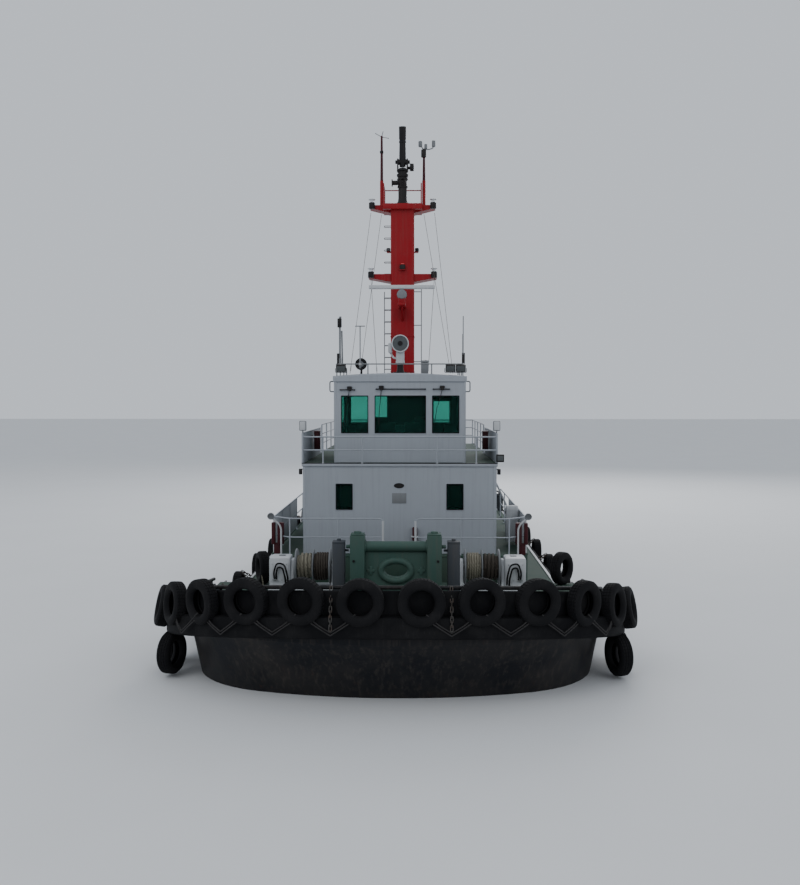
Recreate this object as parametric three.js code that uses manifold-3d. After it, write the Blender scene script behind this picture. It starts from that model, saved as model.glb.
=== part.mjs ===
// Harbour tug with a blunt tyre-hung bow, at full size.
// Millimetres. +X runs forward, +Y to port, +Z up; the origin is amidships on the waterline.
import * as THREE from 'three';
import { mergeVertices } from 'three/addons/utils/BufferGeometryUtils.js';
import Module from 'manifold-3d';

const wasm = await Module();
wasm.setup();

// Driving dimensions of the hull
const BOW_X = 16200;              // plating at the stem, deck level
const STERN_X = -16200;           // transom plating
const HALF_BEAM = 4750;
const KEEL_Z = -3000;
const DECK_Z = 1300;              // raised foredeck
const MAIN_DECK_Z = 700;          // deck abaft its break
const BREAK_X = 9400;
const MAIN_HALF_BEAM = 4620;      // plan of the main deck
const MAIN_STERN_X = -16050;
const FRONT_RADIUS = 9000;        // crown of the flat front
const SHOULDER_RADIUS = 3300;
const CORNER_RADIUS = 1400;       // stern corners
const SEAT = 0.5;                 // air left between two pieces that touch
const PAST = 60;                  // how far a cutter runs past what it cuts

// Bulwark and fender belt
const BULWARK_WALL = 80;
const BULWARK_TOP = 2500;         // at the stem
const BULWARK_LEAST = 1600;       // lowest top, at its after ends
const BULWARK_SLOPE = 0.19;       // fall of its top for each millimetre aft
const BULWARK_END = 5800;         // aft of the stem
const STERN_BULWARK_TOP = 1500;
const STERN_BULWARK_START = -12600;
const BELT_DEPTH = 300;
const BACKING_DEPTH = 140;
const BELT_SLOPE = 0.2;           // fall of the bow belt for each millimetre aft
const BELT_FLARE = 250;           // how much wider than the deck the bow belt grows at the shoulders
const BOW_BELT_END = 12000;       // where the bow belt hands over to the side belts
const SIDE_BELT_LEVEL = 8400;     // abaft this the side belts run level
const SIDE_BELT_RISE = 0.105;     // rise of a side belt for each millimetre forward of it
const STERN_BELT_START = -14400;

// Tyres
const TYRE_RADIUS = 475;
const TYRE_BORE = 265;
const TYRE_WIDTH = 300;
const TYRE_BITE = 25;             // how far a lashed tyre presses into the belt
const BOW_TYRE_PITCH = 1195;
const BOW_TYRE_Z = 2230;          // at the stem, where the belt has not dropped

// Trunk, deckhouse, bridge deck and wheelhouse
const TRUNK_FRONT = 8300;
const TRUNK_BACK = -8600;
const TRUNK_HALF = 3600;
const TRUNK_TOP = 1820;
const HOUSE_FRONT = 7800;
const HOUSE_BACK = -4200;
const HOUSE_HALF = 2710;
const HOUSE_TOP = 4280;
const WALL = 90;
const BRIDGE_TOP = 4370;
const WHEEL_FRONT = 7500;
const WHEEL_BACK = 3200;
const WHEEL_HALF = 1860;
const WHEEL_TOP = 6790;
const ROOF_TOP = 6910;
const ROOF_LIP = 40;
const GLASS = 12;

// Mast
const MAST_X = 2500;
const MAST_HALF_X = 450;
const MAST_HALF_Y = 385;
const CROSSTREE_TOP = 10260;
const MAST_TOP = 12300;
const PLATFORM_TOP = 12510;
const TREE_HALF = 1130;

// Stern drives
const DRIVE_X = -12400;
const DRIVE_Y = 2300;
const DRIVE_TOP = -1250;
const SHAFT_Z = -2700;
const PROP_RADIUS = 1080;
const NOZZLE_RADIUS = 1330;

const tug = new THREE.Group();

// Small helpers

/** Turns a closed three.js geometry into a solid that can be cut and joined. */
function solid(geometry) {
  const bare = geometry.clone();
  bare.deleteAttribute('normal');
  bare.deleteAttribute('uv');
  const merged = mergeVertices(bare, 0.001);
  return new wasm.Manifold(new wasm.Mesh({
    numProp: 3,
    vertProperties: new Float32Array(merged.attributes.position.array),
    triVerts: new Uint32Array(merged.index.array),
  }));
}

/** Gives a solid back as a geometry. */
function geometryOf(body) {
  const mesh = body.getMesh();
  const geometry = new THREE.BufferGeometry();
  geometry.setAttribute('position', new THREE.BufferAttribute(new Float32Array(mesh.vertProperties), 3));
  geometry.setIndex(new THREE.BufferAttribute(new Uint32Array(mesh.triVerts), 1));
  geometry.computeVertexNormals();
  return geometry;
}

function joined(pieces) {
  return geometryOf(pieces.map(solid).reduce((whole, piece) => whole.add(piece)));
}

function cut(piece, tools) {
  return geometryOf(tools.map(solid).reduce((whole, tool) => whole.subtract(tool), solid(piece)));
}

/** A block between two corners. */
function block(x0, x1, y0, y1, z0, z1) {
  const geometry = new THREE.BoxGeometry(Math.abs(x1 - x0), Math.abs(y1 - y0), Math.abs(z1 - z0));
  return geometry.translate((x0 + x1) / 2, (y0 + y1) / 2, (z0 + z1) / 2);
}

/** A round bar from one point to another. */
function bar(from, to, radius, sides = 8, endRadius = radius) {
  const start = new THREE.Vector3(...from);
  const run = new THREE.Vector3(...to).sub(start);
  const geometry = new THREE.CylinderGeometry(endRadius, radius, run.length(), sides);
  geometry.translate(0, run.length() / 2, 0);
  const turn = new THREE.Quaternion().setFromUnitVectors(new THREE.Vector3(0, 1, 0), run.normalize());
  return geometry.applyQuaternion(turn).translate(...from);
}

/** A ring turned round the Y axis from a closed profile of [radius, height] pairs. */
function ring(profile, segments) {
  const points = [...profile, profile[0]].map(([r, h]) => new THREE.Vector2(r, h));
  return new THREE.LatheGeometry(points, segments);
}

/** A closed mesh from rings of equal length, listed from the bottom up, each anticlockwise from above. */
function loft(rings) {
  const count = rings[0].length;
  const position = rings.flat(2);
  const index = [];
  for (let level = 0; level + 1 < rings.length; level += 1) {
    for (let i = 0; i < count; i += 1) {
      const a = level * count + i;
      const b = level * count + ((i + 1) % count);
      index.push(a, b, b + count, a, b + count, a + count);
    }
  }
  const outline = (points) => points.map(([x, y]) => new THREE.Vector2(x, y));
  const top = (rings.length - 1) * count;
  for (const [a, b, c] of THREE.ShapeUtils.triangulateShape(outline(rings[rings.length - 1]), [])) {
    index.push(top + a, top + b, top + c);
  }
  for (const [a, b, c] of THREE.ShapeUtils.triangulateShape(outline(rings[0]), [])) {
    index.push(a, c, b);
  }
  const geometry = new THREE.BufferGeometry();
  geometry.setAttribute('position', new THREE.BufferAttribute(new Float32Array(position), 3));
  geometry.setIndex(index);
  geometry.computeVertexNormals();
  return geometry;
}

/** An upright prism over an outline of [x, y] pairs, given anticlockwise. */
function prism(outline, z0, z1) {
  return loft([outline.map(([x, y]) => [x, y, z0]), outline.map(([x, y]) => [x, y, z1])]);
}

/** Adds a named mesh in its own material. */
function add(name, geometry, look, parent = tug) {
  const mesh = new THREE.Mesh(geometry, new THREE.MeshStandardMaterial(look));
  mesh.name = name;
  parent.add(mesh);
  return mesh;
}

const mirrored = (points) => points.map(([x, y]) => [x, -y]).reverse();
const SIDES = [['port', 1], ['starboard', -1]];
const yBetween = (side, near, far) => [Math.min(side * near, side * far), Math.max(side * near, side * far)];

// Looks
const BLACK_HULL = { color: 0x15171a, roughness: 0.7, metalness: 0.1 };
const RUBBER = { color: 0x111111, roughness: 0.95, metalness: 0.0 };
const WHITE = { color: 0xc9cdd2, roughness: 0.55, metalness: 0.05 };
const DECK_GREEN = { color: 0x3d5b4b, roughness: 0.85, metalness: 0.0 };
const GEAR_GREEN = { color: 0x4f7d68, roughness: 0.6, metalness: 0.1 };
const GREY = { color: 0x5d6468, roughness: 0.6, metalness: 0.2 };
const RED = { color: 0xb3242b, roughness: 0.5, metalness: 0.05 };
const DARK = { color: 0x1d1f22, roughness: 0.6, metalness: 0.4 };
const PANE = { color: 0x1d4a45, roughness: 0.08, metalness: 0.0 };
const ROPE = { color: 0xa39a80, roughness: 0.95, metalness: 0.0 };
const ANTIFOUL = { color: 0x6b2a22, roughness: 0.8, metalness: 0.0 };
const BRONZE = { color: 0xa8803f, roughness: 0.4, metalness: 0.9 };

// Plan of the hull

const DECK_PLAN = {
  bow: BOW_X, beam: HALF_BEAM, front: FRONT_RADIUS, shoulder: SHOULDER_RADIUS,
  stern: STERN_X, corner: CORNER_RADIUS,
};
const FRONT_STEPS = 3;
const SHOULDER_STEPS = 6;
const CORNER_STEPS = 4;

/** Half the hull's plan from the stem to the transom: a crowned front, a shoulder, a side and a corner. */
function halfPlan(plan, offset = 0) {
  const { bow, beam, front, shoulder, stern, corner } = plan;
  const frontX = bow - front;
  const shoulderY = beam - shoulder;
  const shoulderX = frontX + Math.sqrt((front - shoulder) ** 2 - shoulderY ** 2);
  const meet = Math.asin(shoulderY / (front - shoulder));
  const points = [];
  const arc = (cx, cy, radius, from, to, steps, first) => {
    for (let i = first; i <= steps; i += 1) {
      const angle = from + ((to - from) * i) / steps;
      points.push([cx + (radius + offset) * Math.cos(angle), cy + (radius + offset) * Math.sin(angle)]);
    }
  };
  arc(frontX, 0, front, 0, meet, FRONT_STEPS, 0);
  arc(shoulderX, shoulderY, shoulder, meet, Math.PI / 2, SHOULDER_STEPS, 1);
  arc(stern + corner, beam - corner, corner, Math.PI / 2, Math.PI, CORNER_STEPS, 0);
  return points;
}

/** The whole closed plan, anticlockwise from the stem. */
function wholePlan(plan, offset = 0) {
  const half = halfPlan(plan, offset);
  return [...half, ...mirrored(half.slice(1))];
}

// Each waterline of the hull. Columns: height, stem, half beam, front radius, shoulder radius, transom,
// stern corner radius.
const WATERLINES = [
  [KEEL_Z, 10600, 3050, 3600, 2300, -5600, 1400],
  [-2350, 13000, 4150, 5600, 2700, -7600, 1400],
  [DRIVE_TOP, 14300, 4380, 7200, 2500, -10300, 1400],
  [DRIVE_TOP, 14350, 4420, 7300, 2500, -15200, 1400],
  [0, 15400, 4500, 9000, 2400, -15800, 1400],
  [MAIN_DECK_Z, 15750, MAIN_HALF_BEAM, 9000, 2750, MAIN_STERN_X, 1400],
  [1050, 16000, 4700, 9000, 3100, -16160, 1400],
  [DECK_Z, BOW_X, HALF_BEAM, FRONT_RADIUS, SHOULDER_RADIUS, STERN_X, CORNER_RADIUS],
];

/** The hull's body, or with an offset the room that it takes, which is grown and sunk by that much. */
function hullBody(offset = 0) {
  return loft(WATERLINES.map(([z, bow, beam, front, shoulder, stern, corner]) => {
    const plan = { bow, beam, front, shoulder, stern, corner };
    return wholePlan(plan, offset).map(([x, y]) => [x, y, z - offset]);
  }));
}
const overMainDeck = block(STERN_X - PAST, BREAK_X, -HALF_BEAM - PAST, HALF_BEAM + PAST, MAIN_DECK_Z, DECK_Z + PAST);
add('hull', cut(hullBody(), [overMainDeck]), BLACK_HULL);
const hullRoom = hullBody(SEAT);

// Skeg and bar keel under the hull, ahead of the stern drives
const SKEG_HALF = 90;
const SKEG_BOTTOM = -3350;
const skegSide = [[-10600, -2000], [-9800, SKEG_BOTTOM], [9000, SKEG_BOTTOM], [10300, KEEL_Z + 60],
  [10300, -2000]];
const skegShape = new THREE.Shape(skegSide.map(([x, z]) => new THREE.Vector2(x, z)));
const skegSlab = new THREE.ExtrudeGeometry(skegShape, { depth: 2 * SKEG_HALF, bevelEnabled: false });
skegSlab.rotateX(Math.PI / 2).translate(0, SKEG_HALF, 0);
add('skeg', cut(skegSlab, [hullRoom]), ANTIFOUL);

// Bulwarks and fender belts follow the deck edge

/** How far the belt has dropped below its height at the stem. */
function beltDrop(x) {
  return BELT_SLOPE * (BOW_X - x);
}

/** The deck's plan, widened by a flare at the shoulders. */
function flaredPlan(flare) {
  return { ...DECK_PLAN, beam: HALF_BEAM + flare, shoulder: SHOULDER_RADIUS + flare };
}

/** Sweeps a profile of [offset, height function, flare] rows along matching lines and closes both ends. */
function sweep(profile, lineOf) {
  const lines = profile.map(([offset, height, flare = 0]) => lineOf(offset, flare)
    .map(([x, y]) => [x, y, height(x)]));
  const steps = lines[0].length;
  const corners = profile.length;
  const position = [];
  for (let i = 0; i < steps; i += 1) {
    for (let k = 0; k < corners; k += 1) {
      position.push(...lines[k][i]);
    }
  }
  const index = [];
  for (let i = 0; i + 1 < steps; i += 1) {
    for (let k = 0; k < corners; k += 1) {
      const next = (k + 1) % corners;
      const a = i * corners + k;
      const b = i * corners + next;
      index.push(a, b, b + corners, a, b + corners, a + corners);
    }
  }
  const flat = profile.map(([offset, height]) => new THREE.Vector2(offset, height(BOW_X)));
  const last = (steps - 1) * corners;
  for (const [a, b, c] of THREE.ShapeUtils.triangulateShape(flat, [])) {
    index.push(a, c, b);
    index.push(last + a, last + b, last + c);
  }
  const geometry = new THREE.BufferGeometry();
  geometry.setAttribute('position', new THREE.BufferAttribute(new Float32Array(position), 3));
  geometry.setIndex(index);
  geometry.computeVertexNormals();
  if (solid(geometry).volume() < 0) {
    geometry.setIndex(index.reverse());
    geometry.computeVertexNormals();
  }
  return geometry;
}

/** The deck edge's stretch round the bow, from one side to the other, ending square at an X. */
function bowLine(endX) {
  return (offset, flare) => {
    const half = halfPlan(flaredPlan(flare), offset).slice(0, FRONT_STEPS + SHOULDER_STEPS + 1);
    half.push([endX, HALF_BEAM + flare + offset]);
    return [...mirrored(half.slice(1)), ...half];
  };
}

/** The main deck edge's stretch round the stern, starting square at an X. */
function sternLine(startX) {
  const plan = { ...DECK_PLAN, beam: MAIN_HALF_BEAM, stern: MAIN_STERN_X };
  return (offset) => {
    const half = [[startX, MAIN_HALF_BEAM + offset]];
    half.push(...halfPlan(plan, offset).filter(([x]) => x < startX - 1));
    return [...half, ...mirrored(half)];
  };
}

/** The main deck's edge on one side, through a list of X. */
function sideLine(side, places) {
  return (offset) => places.map((x) => [x, side * (MAIN_HALF_BEAM + offset)]);
}

const level = (z) => () => z;
const bulwarkTop = (x) => Math.max(BULWARK_LEAST, BULWARK_TOP - BULWARK_SLOPE * (BOW_X - x));
add('bow_bulwark', sweep([
  [-BULWARK_WALL, level(DECK_Z)], [0, level(DECK_Z)], [0, bulwarkTop], [-BULWARK_WALL, bulwarkTop],
], bowLine(BOW_X - BULWARK_END)), BLACK_HULL);
add('stern_bulwark', sweep([
  [-BULWARK_WALL, level(MAIN_DECK_Z)], [0, level(MAIN_DECK_Z)], [0, level(STERN_BULWARK_TOP)],
  [-BULWARK_WALL, level(STERN_BULWARK_TOP)],
], sternLine(STERN_BULWARK_START)), BLACK_HULL);

// Tyres hung on the belts

const TYRE_SEGMENTS = 10;
const tyreProfile = [
  [TYRE_BORE, -0.27 * TYRE_WIDTH], [0.84 * TYRE_RADIUS, -0.5 * TYRE_WIDTH],
  [TYRE_RADIUS, -0.23 * TYRE_WIDTH], [TYRE_RADIUS, 0.23 * TYRE_WIDTH],
  [0.84 * TYRE_RADIUS, 0.5 * TYRE_WIDTH], [TYRE_BORE, 0.27 * TYRE_WIDTH],
];

/** A tyre whose axle points outward at a heading from +X, in plan; it leans with its foot outward. */
function tyre(x, y, z, heading, lean = 0) {
  const geometry = ring(tyreProfile, TYRE_SEGMENTS);
  geometry.rotateZ(-Math.PI / 2).rotateY(-lean);
  return geometry.rotateZ(heading).translate(x, y, z);
}

/** Places and headings at distances along the port half of the bow belt, starting from the stem. */
function placesAlong(offset, distances) {
  const line = halfPlan(flaredPlan(BELT_FLARE), offset);
  return distances.map((distance) => {
    let left = distance;
    let i = 0;
    let run = Math.hypot(line[1][0] - line[0][0], line[1][1] - line[0][1]);
    while (left > run && i + 2 < line.length) {
      left -= run;
      i += 1;
      run = Math.hypot(line[i + 1][0] - line[i][0], line[i + 1][1] - line[i][1]);
    }
    const [dx, dy] = [(line[i + 1][0] - line[i][0]) / run, (line[i + 1][1] - line[i][1]) / run];
    return { x: line[i][0] + dx * left, y: line[i][1] + dy * left, heading: Math.atan2(-dx, dy) };
  });
}

// Belt sections as [offset, height] pairs; heights are at the stem and drop with the belt
const beltZ = (z) => (x) => z - beltDrop(x);
const bowBelt = sweep([
  [SEAT, beltZ(1470)], [BELT_DEPTH, beltZ(1520), BELT_FLARE], [BELT_DEPTH, beltZ(1830), BELT_FLARE],
  [BACKING_DEPTH, beltZ(1910), BELT_FLARE], [BACKING_DEPTH, beltZ(2400), BELT_FLARE], [SEAT, beltZ(2400)],
], bowLine(BOW_BELT_END));

// Upper row of the bow. Columns: pitches from the stem, lean, how far the tyre stands off
const UPPER_TYRES = [[0.5, 0, 0], [1.5, 0, 0], [2.5, 0, 0], [3.5, 0, 0], [4.5, 0.1, 30], [5.5, 0.2, 60]];
const upperDistances = UPPER_TYRES.map(([pitches]) => pitches * BOW_TYRE_PITCH);
const upperOffset = BACKING_DEPTH + TYRE_WIDTH / 2 - TYRE_BITE;
const bowTyres = [];
placesAlong(upperOffset, upperDistances).forEach(({ x, y, heading }, i) => {
  const [, lean, off] = UPPER_TYRES[i];
  const z = BOW_TYRE_Z - beltDrop(x);
  const [outX, outY] = [x + off * Math.cos(heading), y + off * Math.sin(heading)];
  bowTyres.push(tyre(outX, outY, z, heading, lean), tyre(outX, -outY, z, -heading, lean));
});
const LOWER_TYRES = [6050, 7150];          // distances from the stem of the lower row
const LOWER_TYRE_Z = 1030;
const LOWER_TYRE_TURN = 0.6;               // how much more than the belt they face forward
for (const { x, y, heading } of placesAlong(BELT_DEPTH - TYRE_BITE, LOWER_TYRES)) {
  const z = LOWER_TYRE_Z - beltDrop(x);
  const facing = heading - LOWER_TYRE_TURN;
  bowTyres.push(tyre(x, y, z, facing), tyre(x, -y, z, -facing));
}
add('bow_fender', joined([bowBelt, ...bowTyres]), RUBBER);

// Side and stern belts lie against the hull, which is cut out of them
const SIDE_BELT_LOW = 250;
const SIDE_BELT_HIGH = 600;
const SIDE_BELT_DEPTH = 220;
const SIDE_BELT_SLANT = 70;                // of its upper and lower faces
const BELT_ROOT = -300;                    // inner side before the hull is cut out
const SIDE_TYRE_Z = 430;
const SIDE_TYRES = [9600, 5500, 1900, -1700, -5300, -8900, -12300];
const STERN_TYRES = [-3000, -1500, 0, 1500, 3000];
const sideRise = (x) => SIDE_BELT_RISE * Math.max(0, x - SIDE_BELT_LEVEL);
const sideZ = (z) => (x) => z + sideRise(x);
const beltProfile = [
  [BELT_ROOT, sideZ(SIDE_BELT_LOW)], [0, sideZ(SIDE_BELT_LOW)],
  [SIDE_BELT_DEPTH, sideZ(SIDE_BELT_LOW + SIDE_BELT_SLANT)],
  [SIDE_BELT_DEPTH, sideZ(SIDE_BELT_HIGH - SIDE_BELT_SLANT)],
  [0, sideZ(SIDE_BELT_HIGH)], [BELT_ROOT, sideZ(SIDE_BELT_HIGH)],
];
const tyreOutset = SIDE_BELT_DEPTH + TYRE_WIDTH / 2 - TYRE_BITE;
for (const [name, side] of SIDES) {
  const places = [BOW_BELT_END - SEAT, SIDE_BELT_LEVEL, STERN_BELT_START + SEAT];
  const belt = cut(sweep(beltProfile, sideLine(side, places)), [hullRoom]);
  const tyres = SIDE_TYRES.map((x) => tyre(x, side * (MAIN_HALF_BEAM + tyreOutset), SIDE_TYRE_Z + sideRise(x),
    (side * Math.PI) / 2));
  add(`${name}_fender`, joined([belt, ...tyres]), RUBBER);
}
const sternBelt = cut(sweep(beltProfile, sternLine(STERN_BELT_START)), [hullRoom]);
const sternTyres = STERN_TYRES.map((y) => tyre(MAIN_STERN_X - tyreOutset, y, SIDE_TYRE_Z, Math.PI));
add('stern_fender', joined([sternBelt, ...sternTyres]), RUBBER);

// Trunk: the raised deck that the house stands on
const TRUNK_CHAMFER = 500;
const trunkPlan = [
  [TRUNK_FRONT, -TRUNK_HALF + TRUNK_CHAMFER], [TRUNK_FRONT, TRUNK_HALF - TRUNK_CHAMFER],
  [TRUNK_FRONT - TRUNK_CHAMFER, TRUNK_HALF], [TRUNK_BACK, TRUNK_HALF], [TRUNK_BACK, -TRUNK_HALF],
  [TRUNK_FRONT - TRUNK_CHAMFER, -TRUNK_HALF],
];
add('trunk', prism(trunkPlan, MAIN_DECK_Z, TRUNK_TOP), DECK_GREEN);

// Hinged doors: each panel stands in its opening, hung at its front edge and opening outward
const DOOR_WIDTH = 760;
const DOOR_PANEL = 50;
const DOOR_CLEARANCE = 8;
const HINGE_OUT = 30;                      // hinge line outside the wall's face
const HINGE_RADIUS = 18;
const KNUCKLE_HALF = 45;
const LUG_LENGTH = 40;
const HINGE_REACH = 70;

/** Heights of the two hinges of a door opening. */
function hingeHeights(low, high) {
  return [0.2, 0.8].map((share) => Math.round(low + share * (high - low)));
}

/** The fixed halves of the hinges, above and below each knuckle, on both sides of a house. */
function hingeLugs(wallHalf, frontX, low, high) {
  const lugs = [];
  for (const [, side] of SIDES) {
    const y = side * (wallHalf + HINGE_OUT);
    for (const z of hingeHeights(low, high)) {
      for (const way of [-1, 1]) {
        const near = z + way * (KNUCKLE_HALF + SEAT);
        const far = near + way * LUG_LENGTH;
        lugs.push(bar([frontX, y, Math.min(near, far)], [frontX, y, Math.max(near, far)], HINGE_RADIUS));
        lugs.push(block(frontX + 2, frontX + HINGE_REACH, ...yBetween(side, wallHalf - 10, wallHalf + HINGE_OUT),
          Math.min(near, far), Math.max(near, far)));
      }
    }
  }
  return lugs;
}

/** A door panel with its knuckles and handle. */
function door(side, wallHalf, frontX, low, high) {
  const pieces = [block(frontX - DOOR_WIDTH + DOOR_CLEARANCE, frontX - DOOR_CLEARANCE,
    ...yBetween(side, wallHalf - DOOR_PANEL, wallHalf), low + DOOR_CLEARANCE, high - DOOR_CLEARANCE)];
  for (const z of hingeHeights(low, high)) {
    const y = side * (wallHalf + HINGE_OUT);
    pieces.push(bar([frontX, y, z - KNUCKLE_HALF], [frontX, y, z + KNUCKLE_HALF], HINGE_RADIUS));
    pieces.push(block(frontX - HINGE_REACH, frontX - DOOR_CLEARANCE,
      ...yBetween(side, wallHalf - 10, wallHalf + HINGE_OUT), z - KNUCKLE_HALF, z + KNUCKLE_HALF));
  }
  const middle = (low + high) / 2;
  pieces.push(block(frontX - DOOR_WIDTH + 90, frontX - DOOR_WIDTH + 220,
    ...yBetween(side, wallHalf - 5, wallHalf + 60), middle - 20, middle + 20));
  return joined(pieces);
}

// Deckhouse walls with windows and door openings
const HOUSE_WINDOW_HALF = 245;
const HOUSE_WINDOW_LOW = 3050;
const HOUSE_WINDOW_HIGH = 3800;
const HOUSE_FRONT_WINDOWS = [-1558, 1555];
const HOUSE_SIDE_WINDOWS = [6300, 4800];
const DOOR_LOW = 2000;
const DOOR_HIGH = 3900;
const HOUSE_DOOR_X = 2600;                 // front edge of each side door

/** A house of four walls with the inside left open at top and bottom. */
function shell(front, back, half, low, high, wall) {
  return cut(block(back, front, -half, half, low, high),
    [block(back + wall, front - wall, -half + wall, half - wall, low - PAST, high + PAST)]);
}

const houseCuts = HOUSE_FRONT_WINDOWS.map((y) => block(HOUSE_FRONT - WALL - PAST, HOUSE_FRONT + PAST,
  y - HOUSE_WINDOW_HALF, y + HOUSE_WINDOW_HALF, HOUSE_WINDOW_LOW, HOUSE_WINDOW_HIGH));
for (const [, side] of SIDES) {
  const [y0, y1] = yBetween(side, HOUSE_HALF - WALL - PAST, HOUSE_HALF + PAST);
  for (const x of HOUSE_SIDE_WINDOWS) {
    houseCuts.push(block(x - HOUSE_WINDOW_HALF, x + HOUSE_WINDOW_HALF, y0, y1,
      HOUSE_WINDOW_LOW, HOUSE_WINDOW_HIGH));
  }
  houseCuts.push(block(HOUSE_DOOR_X - DOOR_WIDTH, HOUSE_DOOR_X, y0, y1, DOOR_LOW, DOOR_HIGH));
}
add('deckhouse', joined([
  cut(shell(HOUSE_FRONT, HOUSE_BACK, HOUSE_HALF, TRUNK_TOP, HOUSE_TOP, WALL), houseCuts),
  ...hingeLugs(HOUSE_HALF, HOUSE_DOOR_X, DOOR_LOW, DOOR_HIGH),
]), WHITE);

// Each pane stands against the inside of a wall, behind all its windows
const PANE_LAP = 50;
add('deckhouse_front_glass', block(HOUSE_FRONT - WALL - GLASS, HOUSE_FRONT - WALL,
  HOUSE_FRONT_WINDOWS[0] - HOUSE_WINDOW_HALF - PANE_LAP, HOUSE_FRONT_WINDOWS[1] + HOUSE_WINDOW_HALF + PANE_LAP,
  HOUSE_WINDOW_LOW - PANE_LAP, HOUSE_WINDOW_HIGH + PANE_LAP), PANE);
for (const [name, side] of SIDES) {
  const [y0, y1] = yBetween(side, HOUSE_HALF - WALL - GLASS, HOUSE_HALF - WALL);
  add(`deckhouse_${name}_glass`, block(HOUSE_SIDE_WINDOWS[1] - HOUSE_WINDOW_HALF - PANE_LAP,
    HOUSE_SIDE_WINDOWS[0] + HOUSE_WINDOW_HALF + PANE_LAP, y0, y1,
    HOUSE_WINDOW_LOW - PANE_LAP, HOUSE_WINDOW_HIGH + PANE_LAP), PANE);
}

// Bridge deck, the house's roof, with its wings' bulwarks
const BRIDGE_LIP = 40;
const WING_HALF = HOUSE_HALF + BRIDGE_LIP;
add('bridge_deck', block(HOUSE_BACK - 300, HOUSE_FRONT + BRIDGE_LIP, -WING_HALF, WING_HALF, HOUSE_TOP, BRIDGE_TOP),
  DECK_GREEN);
const WING_WALL = 50;
const WING_TOP = 5240;
const WING_BACK = 2800;
const FRONT_BARS = [4740, 5110];           // heights of the guard bars ahead of the wheelhouse
const FRONT_BAR_RADIUS = 22;
const FRONT_BAR_POSTS = [-2150, -1050, 1050, 2150];
const wingFront = HOUSE_FRONT + BRIDGE_LIP;
const barX = wingFront - WING_WALL / 2;
const wingInner = WING_HALF - WING_WALL;
const frontBars = [
  ...FRONT_BARS.map((z) => bar([barX, wingInner + SEAT, z], [barX, -wingInner + SEAT, z], FRONT_BAR_RADIUS, 6)),
  ...FRONT_BAR_POSTS.map((y) => bar([barX, y, BRIDGE_TOP + SEAT], [barX, y, FRONT_BARS[1]], FRONT_BAR_RADIUS, 6)),
];
const wingPanel = (side) => block(WING_BACK, wingFront, ...yBetween(side, wingInner, WING_HALF), BRIDGE_TOP, WING_TOP);
add('port_wing_bulwark', joined([wingPanel(1), ...frontBars]), WHITE);
add('starboard_wing_bulwark', wingPanel(-1), WHITE);

// Wheelhouse walls, glass and roof
const PANE_LOW = 5195;
const PANE_HIGH = 6276;
const FRONT_PANES = [[-1670, -885], [-718, 748], [907, 1690]];    // from one edge to the other, in Y
const SIDE_PANES = [[6300, 7200], [5150, 6100]];                  // in X
// Columns: starboard edge, port edge, foot, head
const REAR_PANES = [[-1700, -470, 5380, 6276], [990, 1560, 5380, 6125]];
const WHEEL_DOOR_X = 4900;                                        // front edge of each door
const WHEEL_DOOR_HIGH = 6400;
const WHEEL_DOOR_LOW = 4480;
const wheelCuts = [];
for (const [y0, y1] of FRONT_PANES) {
  wheelCuts.push(block(WHEEL_FRONT - WALL - PAST, WHEEL_FRONT + PAST, y0, y1, PANE_LOW, PANE_HIGH));
}
for (const [y0, y1, z0, z1] of REAR_PANES) {
  wheelCuts.push(block(WHEEL_BACK - PAST, WHEEL_BACK + WALL + PAST, y0, y1, z0, z1));
}
for (const [, side] of SIDES) {
  const [y0, y1] = yBetween(side, WHEEL_HALF - WALL - PAST, WHEEL_HALF + PAST);
  for (const [x0, x1] of SIDE_PANES) {
    wheelCuts.push(block(x0, x1, y0, y1, PANE_LOW, PANE_HIGH));
  }
  wheelCuts.push(block(WHEEL_DOOR_X - DOOR_WIDTH, WHEEL_DOOR_X, y0, y1, WHEEL_DOOR_LOW, WHEEL_DOOR_HIGH));
}
add('wheelhouse', joined([
  cut(shell(WHEEL_FRONT, WHEEL_BACK, WHEEL_HALF, BRIDGE_TOP, WHEEL_TOP, WALL), wheelCuts),
  ...hingeLugs(WHEEL_HALF, WHEEL_DOOR_X, WHEEL_DOOR_LOW, WHEEL_DOOR_HIGH),
]), WHITE);
add('wheelhouse_roof', block(WHEEL_BACK - ROOF_LIP, WHEEL_FRONT + ROOF_LIP, -WHEEL_HALF - ROOF_LIP,
  WHEEL_HALF + ROOF_LIP, WHEEL_TOP, ROOF_TOP), WHITE);
const glassLow = PANE_LOW - PANE_LAP;
const glassHigh = PANE_HIGH + PANE_LAP;
add('wheelhouse_front_glass', block(WHEEL_FRONT - WALL - GLASS, WHEEL_FRONT - WALL,
  FRONT_PANES[0][0] - PANE_LAP, FRONT_PANES[2][1] + PANE_LAP, glassLow, glassHigh), PANE);
add('wheelhouse_rear_glass', block(WHEEL_BACK + WALL, WHEEL_BACK + WALL + GLASS,
  REAR_PANES[0][0] - PANE_LAP, REAR_PANES[1][1] + PANE_LAP, REAR_PANES[0][2] - PANE_LAP, glassHigh), PANE);
for (const [name, side] of SIDES) {
  const [y0, y1] = yBetween(side, WHEEL_HALF - WALL - GLASS, WHEEL_HALF - WALL);
  add(`wheelhouse_${name}_glass`, block(SIDE_PANES[1][0] - PANE_LAP, SIDE_PANES[0][1] + PANE_LAP,
    y0, y1, glassLow, glassHigh), PANE);
}
for (const [name, side] of SIDES) {
  add(`wheelhouse_${name}_door`, door(side, WHEEL_HALF, WHEEL_DOOR_X, WHEEL_DOOR_LOW, WHEEL_DOOR_HIGH), WHITE);
  add(`deckhouse_${name}_door`, door(side, HOUSE_HALF, HOUSE_DOOR_X, DOOR_LOW, DOOR_HIGH), WHITE);
}

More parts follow.
